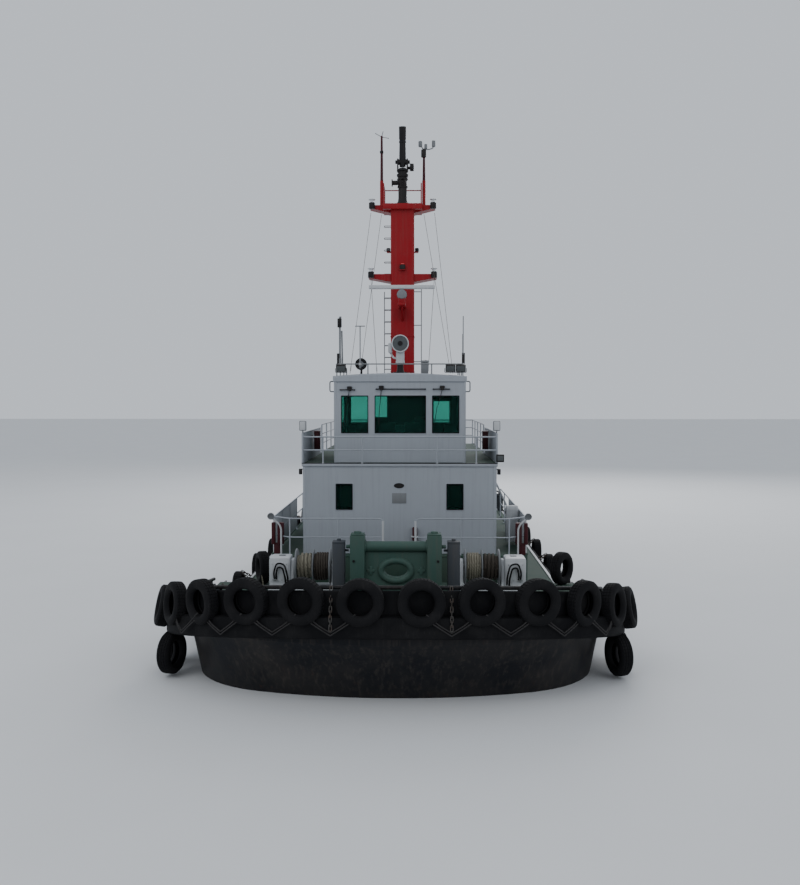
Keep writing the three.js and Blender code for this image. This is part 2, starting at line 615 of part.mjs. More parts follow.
// Bow gear on the foredeck

// Green towing bitt: two square posts, a round beam and a plate with an oval fairlead
const BITT_X = 12100;
const BITT_HALF = 1090;
const BITT_POST = 350;
const BITT_TOP = 2980;
const BITT_DEPTH = 380;
const BEAM_Z = 2660;
const BEAM_RADIUS = 130;
const PLATE_TOP = 2560;
const PLATE_HALF_DEPTH = 40;
const FAIRLEAD_Z = 2090;
const FAIRLEAD_OUTER = [440, 310];         // half width and half height
const FAIRLEAD_INNER = [270, 170];
const FAIRLEAD_HALF_DEPTH = 150;
const OVAL_STEPS = 16;

/** An oval slab that lies across the boat, centred on the fairlead. */
function oval([halfWidth, halfHeight], halfDepth, sides = OVAL_STEPS) {
  const shape = new THREE.Shape();
  shape.absellipse(0, 0, halfWidth, halfHeight, 0, 2 * Math.PI, false, 0);
  const slab = new THREE.ExtrudeGeometry(shape,
    { depth: 2 * halfDepth, bevelEnabled: false, curveSegments: sides });
  slab.rotateX(Math.PI / 2).rotateZ(Math.PI / 2);
  return slab.translate(BITT_X - halfDepth, 0, FAIRLEAD_Z);
}
const bittPosts = SIDES.map(([, side]) => block(BITT_X - BITT_DEPTH / 2, BITT_X + BITT_DEPTH / 2,
  ...yBetween(side, BITT_HALF - BITT_POST, BITT_HALF), DECK_Z, BITT_TOP));
const bittPlate = block(BITT_X - PLATE_HALF_DEPTH, BITT_X + PLATE_HALF_DEPTH, -BITT_HALF + 100, BITT_HALF - 100,
  DECK_Z, PLATE_TOP);
const bittBeam = bar([BITT_X, -BITT_HALF + 100, BEAM_Z], [BITT_X, BITT_HALF - 100, BEAM_Z], BEAM_RADIUS, 12);
add('bow_bitt', cut(joined([...bittPosts, bittPlate, bittBeam, oval(FAIRLEAD_OUTER, FAIRLEAD_HALF_DEPTH)]),
  [oval(FAIRLEAD_INNER, FAIRLEAD_HALF_DEPTH + PAST)]), GEAR_GREEN);

// Grey posts either side of it
const POST_Y = 1380;
const POST_HALF = 150;
const POST_X = 11900;
const POST_TOP = 2790;
for (const [name, side] of SIDES) {
  const y = side * POST_Y;
  add(`${name}_bow_post`, block(POST_X - POST_HALF, POST_X + POST_HALF, y - POST_HALF, y + POST_HALF,
    DECK_Z, POST_TOP), GREY);
}

// Winches: a frame with two cheeks and a gearcase each side, and a drum of rope that turns between them
const WINCH_X = 10400;
const DRUM_Z = 1900;
const DRUM_INNER = 1700;                   // distances from the centreline
const DRUM_OUTER = 2600;
const DRUM_FLANGE = 450;
const DRUM_ROPE = 350;
const FLANGE_THICK = 40;
const SHAFT_RADIUS = 70;
const CHEEK_THICK = 80;
const CHEEK_GAP = 30;                      // air between a flange and a cheek
const GEARCASE_OUTER = 3250;
for (const [name, side] of SIDES) {
  const stub = CHEEK_GAP - SEAT;
  const drum = [
    [0, DRUM_INNER - stub], [SHAFT_RADIUS, DRUM_INNER - stub], [SHAFT_RADIUS, DRUM_INNER],
    [DRUM_FLANGE, DRUM_INNER], [DRUM_FLANGE, DRUM_INNER + FLANGE_THICK], [DRUM_ROPE, DRUM_INNER + FLANGE_THICK],
    [DRUM_ROPE, DRUM_OUTER - FLANGE_THICK], [DRUM_FLANGE, DRUM_OUTER - FLANGE_THICK], [DRUM_FLANGE, DRUM_OUTER],
    [SHAFT_RADIUS, DRUM_OUTER], [SHAFT_RADIUS, DRUM_OUTER + stub], [0, DRUM_OUTER + stub],
  ].map(([r, y]) => new THREE.Vector2(r, y));
  const drumGeometry = new THREE.LatheGeometry(drum, 14);
  if (side < 0) {
    drumGeometry.rotateX(Math.PI);
  }
  drumGeometry.translate(WINCH_X, 0, DRUM_Z);
  add(`${name}_winch_drum`, drumGeometry, ROPE);
  const cheek = (near, far) => block(WINCH_X - 300, WINCH_X + 300, ...yBetween(side, near, far), DECK_Z,
    DRUM_Z + 200);
  const inner = DRUM_INNER - CHEEK_GAP;
  const outer = DRUM_OUTER + CHEEK_GAP;
  add(`${name}_winch_frame`, joined([
    block(WINCH_X - 480, WINCH_X + 480, ...yBetween(side, inner - CHEEK_THICK, GEARCASE_OUTER), DECK_Z,
      DECK_Z + 90),
    cheek(inner - CHEEK_THICK, inner), cheek(outer, outer + CHEEK_THICK),
    block(WINCH_X - 330, WINCH_X + 330, ...yBetween(side, outer + CHEEK_THICK, GEARCASE_OUTER), DECK_Z,
      DRUM_Z + 290),
  ]), WHITE);
}

// Spare tyres stood on the foredeck near its break. Columns: side, Y, turn of the axle from athwartships
const SPARE_TYRES = [['port', 4300, -0.66], ['starboard', -3580, 0.35]];
const SPARE_X = 9600;
const SPARE_RADIUS = 430;
const SPARE_BORE = 225;
const SPARE_HALF_WIDTH = 140;
const flatDown = Math.PI / TYRE_SEGMENTS;  // turns a flat of the tyre's outline down
for (const [name, y, turn] of SPARE_TYRES) {
  const spare = ring([
    [SPARE_BORE, -0.6 * SPARE_HALF_WIDTH], [0.84 * SPARE_RADIUS, -SPARE_HALF_WIDTH],
    [SPARE_RADIUS, -SPARE_HALF_WIDTH / 2], [SPARE_RADIUS, SPARE_HALF_WIDTH / 2],
    [0.84 * SPARE_RADIUS, SPARE_HALF_WIDTH], [SPARE_BORE, 0.6 * SPARE_HALF_WIDTH],
  ], TYRE_SEGMENTS).rotateY(flatDown).rotateZ(turn);
  add(`${name}_spare_tyre`, spare.translate(SPARE_X, y, DECK_Z + SPARE_RADIUS * Math.cos(flatDown) + SEAT), RUBBER);
}

// Mast, its crosstree, platform, radar shelf and poles

/** A rectangle with cut corners, anticlockwise. */
function chamferedPlan(x, y, halfX, halfY, chamfer) {
  return [
    [x + halfX, y - halfY + chamfer], [x + halfX, y + halfY - chamfer], [x + halfX - chamfer, y + halfY],
    [x - halfX + chamfer, y + halfY], [x - halfX, y + halfY - chamfer], [x - halfX, y - halfY + chamfer],
    [x - halfX + chamfer, y - halfY], [x + halfX - chamfer, y - halfY],
  ];
}

/** A slab that is thick at the mast and thin at its tips, seen from ahead. */
function taperedTree(x0, x1, halfWidth, top, rootDepth, tipDepth) {
  const shape = new THREE.Shape([
    [-halfWidth, top - tipDepth], [-MAST_HALF_Y, top - rootDepth], [MAST_HALF_Y, top - rootDepth],
    [halfWidth, top - tipDepth], [halfWidth, top], [-halfWidth, top],
  ].map(([y, z]) => new THREE.Vector2(y, z)));
  const slab = new THREE.ExtrudeGeometry(shape, { depth: x1 - x0, bevelEnabled: false });
  return slab.rotateX(Math.PI / 2).rotateZ(Math.PI / 2).translate(x0, 0, 0);
}
const SHELF_Z = 9180;
const SHELF_HALF = 120;
const RADAR_X = 4080;
const PLATFORM_HALF_X = 600;
const PLATFORM_HALF_Y = 640;
const ARM_HALF_X = 280;
const ARM_HALF_Y = 1080;
// Poles on the arms. Columns: Y, top
const POLES = [[-700, 14870], [700, 14430]];
const POLE_X = MAST_X - 230;             // clear of the monitor's barrel as it pans
const POLE_RADIUS = 45;
const SUNK = 20;                           // how deep a post stands in what carries it
const mastParts = [
  prism(chamferedPlan(MAST_X, 0, MAST_HALF_X, MAST_HALF_Y, 90), BRIDGE_TOP, MAST_TOP + 50),
  taperedTree(MAST_X - 350, MAST_X + 350, TREE_HALF, CROSSTREE_TOP, 260, 120),
  taperedTree(MAST_X - ARM_HALF_X, MAST_X + ARM_HALF_X, ARM_HALF_Y, PLATFORM_TOP, 260, 90),
  block(MAST_X - PLATFORM_HALF_X, MAST_X + PLATFORM_HALF_X, -PLATFORM_HALF_Y, PLATFORM_HALF_Y, PLATFORM_TOP - 180,
    PLATFORM_TOP),
  block(MAST_X, RADAR_X + 180, -SHELF_HALF, SHELF_HALF, SHELF_Z - 60, SHELF_Z),
  block(MAST_X, RADAR_X - 500, -30, 30, SHELF_Z - 500, SHELF_Z - 40),
  ...POLES.map(([y, top]) => bar([POLE_X, y, PLATFORM_TOP - SUNK], [POLE_X, y, top], POLE_RADIUS, 6, 30)),
];
// Guard rails round the platform, open at the front, and lamps on both ends of each tree
const RAIL_RADIUS = 20;
const RAIL_SIDES = 5;
const MAST_RAIL_TOP = 13150;
const MAST_RAIL_IN = 30;                   // from the platform's edge
const [railX, railY] = [PLATFORM_HALF_X - MAST_RAIL_IN, PLATFORM_HALF_Y - MAST_RAIL_IN];
const railCorners = [[MAST_X + railX, -railY], [MAST_X + railX, railY], [MAST_X - railX, railY],
  [MAST_X - railX, -railY]];
railCorners.forEach(([x, y], i) => {
  const [nextX, nextY] = railCorners[(i + 1) % railCorners.length];
  mastParts.push(bar([x, y, PLATFORM_TOP - SUNK], [x, y, MAST_RAIL_TOP], RAIL_RADIUS, RAIL_SIDES));
  if (i !== 0) {
    mastParts.push(bar([x, y, MAST_RAIL_TOP], [nextX, nextY, MAST_RAIL_TOP], RAIL_RADIUS, RAIL_SIDES));
  }
});
// Lamps. Columns: X, distance from the centreline, height of the tree
const LAMPS = [[MAST_X + 250, TREE_HALF - 100, CROSSTREE_TOP], [MAST_X + 100, ARM_HALF_Y - 100, PLATFORM_TOP]];
const LAMP_RADIUS = 90;
const LAMP_HEIGHT = 240;
for (const [x, y, z] of LAMPS) {
  for (const [, side] of SIDES) {
    mastParts.push(bar([x, side * y, z - SUNK], [x, side * y, z + LAMP_HEIGHT], LAMP_RADIUS, 8));
  }
}
add('mast', joined(mastParts), RED);

// Radar: a gearcase on the shelf and the scanner bar that turns on it
const GEARCASE_TOP = 9620;
const GEARCASE_Z = 9460;                   // axis of its round body, which lies fore and aft
const GEARCASE_RADIUS = 155;
const SCANNER_HALF = 1090;
add('radar_gearcase', joined([
  bar([RADAR_X - 200, 0, GEARCASE_Z], [RADAR_X + 180, 0, GEARCASE_Z], GEARCASE_RADIUS, 16),
  block(RADAR_X - 160, RADAR_X + 140, -100, 100, SHELF_Z, GEARCASE_Z),
  bar([RADAR_X, 0, GEARCASE_Z], [RADAR_X, 0, GEARCASE_TOP], 60, 12),
]), GREY);
add('radar_scanner', joined([
  bar([RADAR_X, 0, GEARCASE_TOP + SEAT], [RADAR_X, 0, GEARCASE_TOP + 30], 50, 12),
  block(RADAR_X - 80, RADAR_X + 80, -SCANNER_HALF, SCANNER_HALF, GEARCASE_TOP + 12, GEARCASE_TOP + 162),
]), WHITE);

// Fire monitor on top: a stand, a body that turns on it and a barrel that tilts in the body
const MONITOR_X = 2750;
const STAND_TOP = 13450;
const TRUNNION_Z = 13900;
const FORK_HALF = 130;
const ARM_THICK = 50;
const BARREL_TOP = 15030;
add('monitor_stand', joined([
  bar([MONITOR_X, 0, PLATFORM_TOP + SEAT], [MONITOR_X, 0, PLATFORM_TOP + 60], 260, 12),
  bar([MONITOR_X, 0, PLATFORM_TOP + 40], [MONITOR_X, 0, STAND_TOP], 130, 12),
]), DARK);
add('monitor_body', joined([
  bar([MONITOR_X, 0, STAND_TOP + SEAT], [MONITOR_X, 0, STAND_TOP + 200], 190, 12),
  ...SIDES.map(([, side]) => block(MONITOR_X - 110, MONITOR_X + 110,
    ...yBetween(side, FORK_HALF, FORK_HALF + ARM_THICK), STAND_TOP + 150, TRUNNION_Z + 120)),
]), DARK);
const BARREL_LEAN = 0.08;                  // radians forward of upright
const barrel = joined([
  bar([0, -FORK_HALF + SEAT, 0], [0, FORK_HALF - SEAT, 0], 90, 12),
  bar([0, 0, -160], [0, 0, 700], 95, 12, 75),
  bar([0, 0, 680], [0, 0, BARREL_TOP - TRUNNION_Z - 12], 110, 12, 120),
]);
barrel.rotateY(BARREL_LEAN).translate(MONITOR_X, 0, TRUNNION_Z);
add('monitor_barrel', barrel, DARK);

// Searchlight on the wheelhouse roof: a stand and a lamp that turns
const LIGHT_X = 6750;
const LIGHT_TOP = 8020;
add('searchlight_stand', joined([
  bar([LIGHT_X, 0, ROOF_TOP + SEAT], [LIGHT_X, 0, ROOF_TOP + 40], 200, 12),
  bar([LIGHT_X, 0, ROOF_TOP + 30], [LIGHT_X, 0, ROOF_TOP + 300], 90, 12),
]), GREY);
add('searchlight', joined([
  bar([LIGHT_X, 0, ROOF_TOP + 300 + SEAT], [LIGHT_X, 0, ROOF_TOP + 380], 130, 12),
  bar([LIGHT_X - 220, 0, LIGHT_TOP - 250], [LIGHT_X + 220, 0, LIGHT_TOP - 250], 250, 16),
  block(LIGHT_X - 90, LIGHT_X + 90, -120, 120, ROOF_TOP + 360, LIGHT_TOP - 400),
  block(LIGHT_X - 110, LIGHT_X + 110, -350, -200, LIGHT_TOP - 520, LIGHT_TOP - 230),
]), GREY);

// Roof rail and the aerial poles clamped to it
const ROOF_RAIL_TOP = 7160;
const ROOF_RAIL_Y = 1800;
const ROOF_RAIL_RADIUS = 18;
const ROOF_RAIL_BACK = WHEEL_BACK + 200;
const roofBar = (from, to) => bar(from, to, ROOF_RAIL_RADIUS, RAIL_SIDES);
const roofPost = (x, y) => roofBar([x, y, ROOF_TOP + SEAT], [x, y, ROOF_RAIL_TOP]);
const roofRail = [
  ...[-ROOF_RAIL_Y, -900, 900, ROOF_RAIL_Y].map((y) => roofPost(WHEEL_FRONT, y)),
  roofBar([WHEEL_FRONT, -ROOF_RAIL_Y - 15, ROOF_RAIL_TOP], [WHEEL_FRONT, ROOF_RAIL_Y + 15, ROOF_RAIL_TOP]),
];
for (const [, side] of SIDES) {
  const y = side * ROOF_RAIL_Y;
  roofRail.push(roofBar([WHEEL_FRONT, y, ROOF_RAIL_TOP], [ROOF_RAIL_BACK, y, ROOF_RAIL_TOP]));
  roofRail.push(...[6000, 4600, ROOF_RAIL_BACK].map((x) => roofPost(x, y)));
}
// Columns: X, Y, top
const AERIALS = [[7500, -1690, 8480], [7500, -1120, 8240], [7200, 1800, 8530], [6900, 1800, 8040]];
for (const [x, y, top] of AERIALS) {
  roofRail.push(bar([x, y, ROOF_RAIL_TOP - 100], [x, y, top], 30, RAIL_SIDES));
}
add('roof_rail', joined(roofRail), WHITE);

/** A guard rail along a run of posts: each post stands on the deck and two bars join them. */
function guardRail(points, deck, height) {
  const pieces = [];
  points.forEach(([x, y], i) => {
    pieces.push(bar([x, y, deck + SEAT], [x, y, deck + height], RAIL_RADIUS, RAIL_SIDES));
    if (i > 0) {
      const [fromX, fromY] = points[i - 1];
      for (const share of [0.5, 1]) {
        pieces.push(bar([fromX, fromY, deck + share * height], [x, y, deck + share * height], RAIL_RADIUS, RAIL_SIDES));
      }
    }
  });
  return joined(pieces);
}
const RAIL_HEIGHT = 950;
const bridgeRailX = [2600, 900, -850, -2600, -4400];
const bridgeRail = [
  ...bridgeRailX.map((x) => [x, WING_HALF - 60]), [-4400, 900], [-4400, -900],
  ...bridgeRailX.map((x) => [x, -WING_HALF + 60]).reverse(),
];
add('bridge_rail', guardRail(bridgeRail, BRIDGE_TOP, RAIL_HEIGHT), WHITE);
const DECK_RAIL_HEIGHT = 1040;
const DECK_RAIL_CORNER = 7760;             // where the rail turns round the trunk's corner
const PANEL_HALF = 12;                     // weather panel along the side rails, up to the corner
const PANEL_BACK = 2600;
for (const [name, side] of SIDES) {
  const edge = TRUNK_HALF - 60;
  const front = TRUNK_FRONT - 60;
  const run = [[front, 450], [front, 1700], [front, edge - 500], [DECK_RAIL_CORNER, edge], [6200, edge],
    [4400, edge], [PANEL_BACK, edge], [800, edge], [-1000, edge]].map(([x, y]) => [x, side * y]);
  const panel = block(PANEL_BACK, DECK_RAIL_CORNER, ...yBetween(side, edge - PANEL_HALF, edge + PANEL_HALF),
    TRUNK_TOP + 60, TRUNK_TOP + DECK_RAIL_HEIGHT);
  add(`${name}_deck_rail`, joined([guardRail(run, TRUNK_TOP, DECK_RAIL_HEIGHT), panel]), WHITE);
}

// Two slim funnels side by side on the bridge deck, abaft the mast
const FUNNEL_X = -2300;
const FUNNEL_Y = 310;
const FUNNEL_TOP = 6500;
const FUNNEL_FOOT = [1000, 270, 100];      // half length, half width and cut corner
const FUNNEL_HEAD = [850, 240, 90];
const FUNNEL_RAKE = 100;                   // how far aft its head stands
const EXHAUST_RADIUS = 130;
for (const [name, side] of SIDES) {
  const y = side * FUNNEL_Y;
  const foot = chamferedPlan(FUNNEL_X, y, ...FUNNEL_FOOT);
  const head = chamferedPlan(FUNNEL_X - FUNNEL_RAKE, y, ...FUNNEL_HEAD);
  const casing = loft([foot.map(([px, py]) => [px, py, BRIDGE_TOP]), head.map(([px, py]) => [px, py, FUNNEL_TOP])]);
  const pipes = [-300, 200].map((dx) => bar([FUNNEL_X + dx, y, FUNNEL_TOP - 100],
    [FUNNEL_X + dx - 60, y, FUNNEL_TOP + 260], EXHAUST_RADIUS, 10));
  add(`${name}_funnel`, joined([casing, ...pipes]), RED);
}

// Liferaft canisters on cradles, at the edge of the bridge deck
const RAFT_X = 900;
const RAFT_Y = 1700;
for (const [name, side] of SIDES) {
  const y = side * RAFT_Y;
  add(`${name}_liferaft`, joined([
    bar([RAFT_X - 620, y, BRIDGE_TOP + 480], [RAFT_X + 620, y, BRIDGE_TOP + 480], 300, 12),
    ...[-350, 350].map((dx) => block(RAFT_X + dx - 40, RAFT_X + dx + 40, y - 260, y + 260, BRIDGE_TOP,
      BRIDGE_TOP + 320)),
  ]), WHITE);
}

// After deck: towing bitt, towing hook and capstan
const AFT_BITT_X = -10200;
const AFT_BITT_TOP = 1850;
const AFT_BITT_BAR_Z = 1500;
add('aft_bitt', joined([
  ...SIDES.map(([, side]) => block(AFT_BITT_X - 200, AFT_BITT_X + 200, ...yBetween(side, 500, 900), MAIN_DECK_Z,
    AFT_BITT_TOP)),
  bar([AFT_BITT_X, -1200, AFT_BITT_BAR_Z], [AFT_BITT_X, 1200, AFT_BITT_BAR_Z], 130, 12),
]), GEAR_GREEN);
const HOOK_X = -9000;
const HOOK_Z = 1550;
const HOOK_LENGTH = 560;
const HOOK_SEAT = HOOK_Z - 130;            // top of the shelf that the hook turns on
add('hook_post', joined([
  block(TRUNK_BACK - 260, TRUNK_BACK - SEAT, -300, 300, MAIN_DECK_Z, HOOK_SEAT - 20),
  block(HOOK_X - 120, TRUNK_BACK - 200, -200, 200, HOOK_SEAT - 200, HOOK_SEAT),
]), GREY);
add('towing_hook', joined([
  bar([HOOK_X, 0, HOOK_SEAT + SEAT], [HOOK_X, 0, HOOK_Z + 120], 80, 12),
  block(HOOK_X - HOOK_LENGTH, HOOK_X, -60, 60, HOOK_Z - 80, HOOK_Z + 60),
  block(HOOK_X - HOOK_LENGTH, HOOK_X - HOOK_LENGTH + 120, -60, 60, HOOK_Z, HOOK_Z + 260),
]), DARK);
const CAPSTAN_X = -13200;
const CAPSTAN_SEAT = MAIN_DECK_Z + 200;
add('capstan_base', block(CAPSTAN_X - 320, CAPSTAN_X + 320, -320, 320, MAIN_DECK_Z, CAPSTAN_SEAT), GREY);
const capstanProfile = [[0, 0], [300, 0], [300, 90], [190, 200], [190, 460], [270, 560], [270, 620], [0, 620]]
  .map(([r, h]) => new THREE.Vector2(r, h));
add('capstan', new THREE.LatheGeometry(capstanProfile, 16).rotateX(Math.PI / 2)
  .translate(CAPSTAN_X, 0, CAPSTAN_SEAT + SEAT), GEAR_GREEN);

// Stern drives: a leg that steers with its nozzle, and a propeller that turns in it
const LEG_RADIUS = 380;
const POD_RADIUS = 330;
const POD_FRONT = 620;                     // from the steering axis
const POD_BACK = -420;
const HUB_FRONT = -480;
const HUB_LENGTH = 400;
const NOZZLE_WALL = 110;
const NOZZLE_HALF = 420;
const NOZZLE_CENTRE = -760;                // aft of the steering axis
for (const [name, side] of SIDES) {
  const y = side * DRIVE_Y;
  const along = (x0, x1, radius, sides, end = radius) => bar([x0, 0, 0], [x1, 0, 0], radius, sides, end);
  const nozzle = ring([
    [NOZZLE_RADIUS - NOZZLE_WALL, -NOZZLE_HALF], [NOZZLE_RADIUS - 30, -NOZZLE_HALF],
    [NOZZLE_RADIUS, NOZZLE_HALF], [NOZZLE_RADIUS - 190, NOZZLE_HALF],
  ], 24).rotateZ(-Math.PI / 2).translate(NOZZLE_CENTRE, 0, 0);
  const leg = joined([
    bar([0, 0, 0], [0, 0, DRIVE_TOP - SHAFT_Z - 90], LEG_RADIUS, 12),
    bar([0, 0, DRIVE_TOP - SHAFT_Z - 160], [0, 0, DRIVE_TOP - SHAFT_Z - SEAT], 700, 16),
    along(POD_BACK, POD_FRONT, POD_RADIUS, 12, 140),
    along(HUB_FRONT + SEAT, POD_BACK + 20, 170, 12),
    block(HUB_FRONT + 10, 100, -60, 60, 300, NOZZLE_RADIUS - 50),
    block(HUB_FRONT + 10, 100, -60, 60, -NOZZLE_RADIUS + 50, -230),
    nozzle,
  ]).translate(DRIVE_X, y, SHAFT_Z);
  add(`${name}_drive`, leg, ANTIFOUL);
  const blades = [0, 1, 2, 3].map((quarter) => {
    const blade = new THREE.BoxGeometry(60, 520, PROP_RADIUS - 150);
    blade.translate(0, 0, (PROP_RADIUS - 150) / 2 + 150).rotateZ(0.5).rotateX((quarter * Math.PI) / 2);
    return blade;
  });
  const hub = bar([-HUB_LENGTH / 2, 0, 0], [HUB_LENGTH / 2, 0, 0], 220, 12);
  const propeller = joined([hub, ...blades]);
  propeller.translate(DRIVE_X + HUB_FRONT - HUB_LENGTH / 2, y, SHAFT_Z);
  add(`${name}_propeller`, propeller, BRONZE);
}

export default tug;
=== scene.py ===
"""Harbour tug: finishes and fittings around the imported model, laid out as a Blender add-on."""
import math

import bmesh
import bpy
from mathutils import Matrix, Vector


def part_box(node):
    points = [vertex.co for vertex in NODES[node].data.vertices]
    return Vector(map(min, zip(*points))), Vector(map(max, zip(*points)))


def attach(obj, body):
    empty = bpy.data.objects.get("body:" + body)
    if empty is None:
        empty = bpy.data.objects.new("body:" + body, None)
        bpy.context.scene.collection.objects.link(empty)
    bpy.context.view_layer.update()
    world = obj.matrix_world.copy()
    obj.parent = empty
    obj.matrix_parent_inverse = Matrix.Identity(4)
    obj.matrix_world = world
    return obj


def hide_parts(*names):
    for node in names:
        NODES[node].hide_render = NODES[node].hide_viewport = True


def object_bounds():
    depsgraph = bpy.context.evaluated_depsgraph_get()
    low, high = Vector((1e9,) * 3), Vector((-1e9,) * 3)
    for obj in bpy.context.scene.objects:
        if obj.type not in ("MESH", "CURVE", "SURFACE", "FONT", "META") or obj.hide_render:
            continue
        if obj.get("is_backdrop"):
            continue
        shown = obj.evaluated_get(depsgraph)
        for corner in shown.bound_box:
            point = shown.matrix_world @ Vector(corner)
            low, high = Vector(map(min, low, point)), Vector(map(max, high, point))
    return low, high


bl_info = {
    "name": "Harbour Tug Finish",
    "version": (1, 0, 0),
    "blender": (4, 5, 0),
    "location": "3D View > Sidebar > Tug",
    "description": "Builds the finishes and fittings of a harbour tug around its packed model",
    "category": "Object",
}

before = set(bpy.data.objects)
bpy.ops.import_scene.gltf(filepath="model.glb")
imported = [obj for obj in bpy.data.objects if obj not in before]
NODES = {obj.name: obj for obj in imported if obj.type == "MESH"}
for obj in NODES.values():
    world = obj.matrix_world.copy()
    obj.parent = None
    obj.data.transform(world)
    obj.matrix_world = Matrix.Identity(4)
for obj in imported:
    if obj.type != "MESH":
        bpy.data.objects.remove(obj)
CAD_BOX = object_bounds()

# Places that many pieces share, in metres, read from the frame
FOREDECK_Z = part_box("bow_bitt")[0].z
MAIN_DECK_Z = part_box("trunk")[0].z
TRUNK_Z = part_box("trunk")[1].z
TRUNK_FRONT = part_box("trunk")[1].x
TRUNK_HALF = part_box("trunk")[1].y
BRIDGE_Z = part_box("bridge_deck")[1].z
HOUSE_LOW, HOUSE_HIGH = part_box("deckhouse")
HOUSE_FRONT = HOUSE_HIGH.x
HOUSE_HALF = 2.71
WHEEL_LOW, WHEEL_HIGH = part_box("wheelhouse")
WHEEL_FRONT = WHEEL_HIGH.x
WHEEL_HALF = 1.86
ROOF_LOW, ROOF_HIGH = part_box("wheelhouse_roof")
ROOF_Z = ROOF_HIGH.z
ROOT = "root"
SHARP_ANGLE = math.radians(35)
SIDES = (("port", 1), ("starboard", -1))
X_AXIS = Vector((1, 0, 0))
Y_AXIS = Vector((0, 1, 0))
Z_AXIS = Vector((0, 0, 1))


# Node groups shared by the materials

def new_group(name, inputs, outputs):
    """A shader node group with named sockets, and its input and output nodes."""
    group = bpy.data.node_groups.new(name, "ShaderNodeTree")
    for label, kind, default in inputs:
        socket = group.interface.new_socket(name=label, in_out="INPUT", socket_type=kind)
        if default is not None:
            socket.default_value = default
    for label, kind in outputs:
        group.interface.new_socket(name=label, in_out="OUTPUT", socket_type=kind)
    start = group.nodes.new("NodeGroupInput")
    end = group.nodes.new("NodeGroupOutput")
    return group, start, end


class Wiring:
    """Short calls that add nodes to a tree and link them."""

    def __init__(self, tree):
        self.tree = tree

    def node(self, kind, links=None, values=None, **settings):
        made = self.tree.nodes.new(kind)
        for key, value in settings.items():
            setattr(made, key, value)
        for key, value in (values or {}).items():
            made.inputs[key].default_value = value
        for key, source in (links or {}).items():
            self.tree.links.new(source, made.inputs[key])
        return made

    def noise(self, vector, scale, detail=3.0, rough=0.55):
        values = {"Scale": scale, "Detail": detail, "Roughness": rough}
        return self.node("ShaderNodeTexNoise", {"Vector": vector}, values).outputs["Fac"]

    def stretched(self, vector, scale):
        return self.node("ShaderNodeMapping", {"Vector": vector}, {"Scale": scale}).outputs["Vector"]

    def band(self, value, low, high, out_low=0.0, out_high=1.0):
        values = {"From Min": low, "From Max": high, "To Min": out_low, "To Max": out_high}
        return self.node("ShaderNodeMapRange", {"Value": value}, values).outputs["Result"]

    def math(self, operation, first, second):
        made = self.node("ShaderNodeMath", operation=operation)
        for index, item in enumerate((first, second)):
            if isinstance(item, (int, float)):
                made.inputs[index].default_value = item
            else:
                self.tree.links.new(item, made.inputs[index])
        return made.outputs["Value"]

    def mix(self, factor, first, second):
        made = self.node("ShaderNodeMix", data_type="RGBA")
        for key, item in (("Factor_Float", factor), ("A_Color", first), ("B_Color", second)):
            target = next(s for s in made.inputs if s.identifier == key)
            if isinstance(item, (int, float, tuple)):
                target.default_value = item
            else:
                self.tree.links.new(item, target)
        return next(s for s in made.outputs if s.identifier == "Result_Color")


def weather_group():
    """Painted steel out of doors: blotches, rain streaks, dirt, rust runs, chips and a fine grain."""
    group, start, end = new_group("Sea Weather", [
        ("Vector", "NodeSocketVector", None),
        ("Paint", "NodeSocketColor", (0.5, 0.5, 0.5, 1.0)),
        ("Dirt Colour", "NodeSocketColor", (0.12, 0.10, 0.08, 1.0)),
        ("Rust Colour", "NodeSocketColor", (0.20, 0.07, 0.025, 1.0)),
        ("Blotches", "NodeSocketFloat", 0.2),
        ("Streaks", "NodeSocketFloat", 0.2),
        ("Dirt", "NodeSocketFloat", 0.2),
        ("Chips", "NodeSocketFloat", 0.1),
        ("Base Roughness", "NodeSocketFloat", 0.45),
    ], [("Color", "NodeSocketColor"), ("Roughness", "NodeSocketFloat"), ("Height", "NodeSocketFloat")])
    w = Wiring(group)
    given = start.outputs
    place = given["Vector"]
    blotch = w.math("MULTIPLY", w.band(w.noise(place, 0.9, 4.0), 0.35, 0.68), given["Blotches"])
    fine = w.noise(place, 55.0, 2.0)
    rain = w.noise(w.stretched(place, (7.0, 7.0, 0.35)), 1.6, 5.0, 0.6)
    streak = w.math("MULTIPLY", w.band(rain, 0.50, 0.72), given["Streaks"])
    speck = w.math("MULTIPLY", w.band(w.noise(place, 5.0, 6.0, 0.7), 0.60, 0.74), given["Dirt"])
    chip = w.math("MULTIPLY", w.band(w.noise(place, 2.3, 7.0, 0.75), 0.655, 0.675), given["Chips"])
    rust_run = w.band(w.noise(w.stretched(place, (5.0, 5.0, 0.5)), 2.0, 4.0), 0.62, 0.78, 0.0, 0.6)
    run = w.math("MULTIPLY", rust_run, given["Chips"])
    darker = w.mix(0.45, given["Paint"], given["Dirt Colour"])
    colour = w.mix(blotch, given["Paint"], darker)
    colour = w.mix(streak, colour, given["Dirt Colour"])
    colour = w.mix(speck, colour, given["Dirt Colour"])
    colour = w.mix(run, colour, given["Rust Colour"])
    colour = w.mix(chip, colour, given["Rust Colour"])
    rough = w.math("ADD", given["Base Roughness"], w.math("MULTIPLY", fine, 0.12))
    rough = w.math("ADD", rough, w.math("MULTIPLY", w.math("ADD", streak, chip), 0.3))
    height = w.math("SUBTRACT", w.math("MULTIPLY", fine, 0.25), chip)
    for label, value in (("Color", colour), ("Roughness", rough), ("Height", height)):
        group.links.new(value, end.inputs[label])
    return group


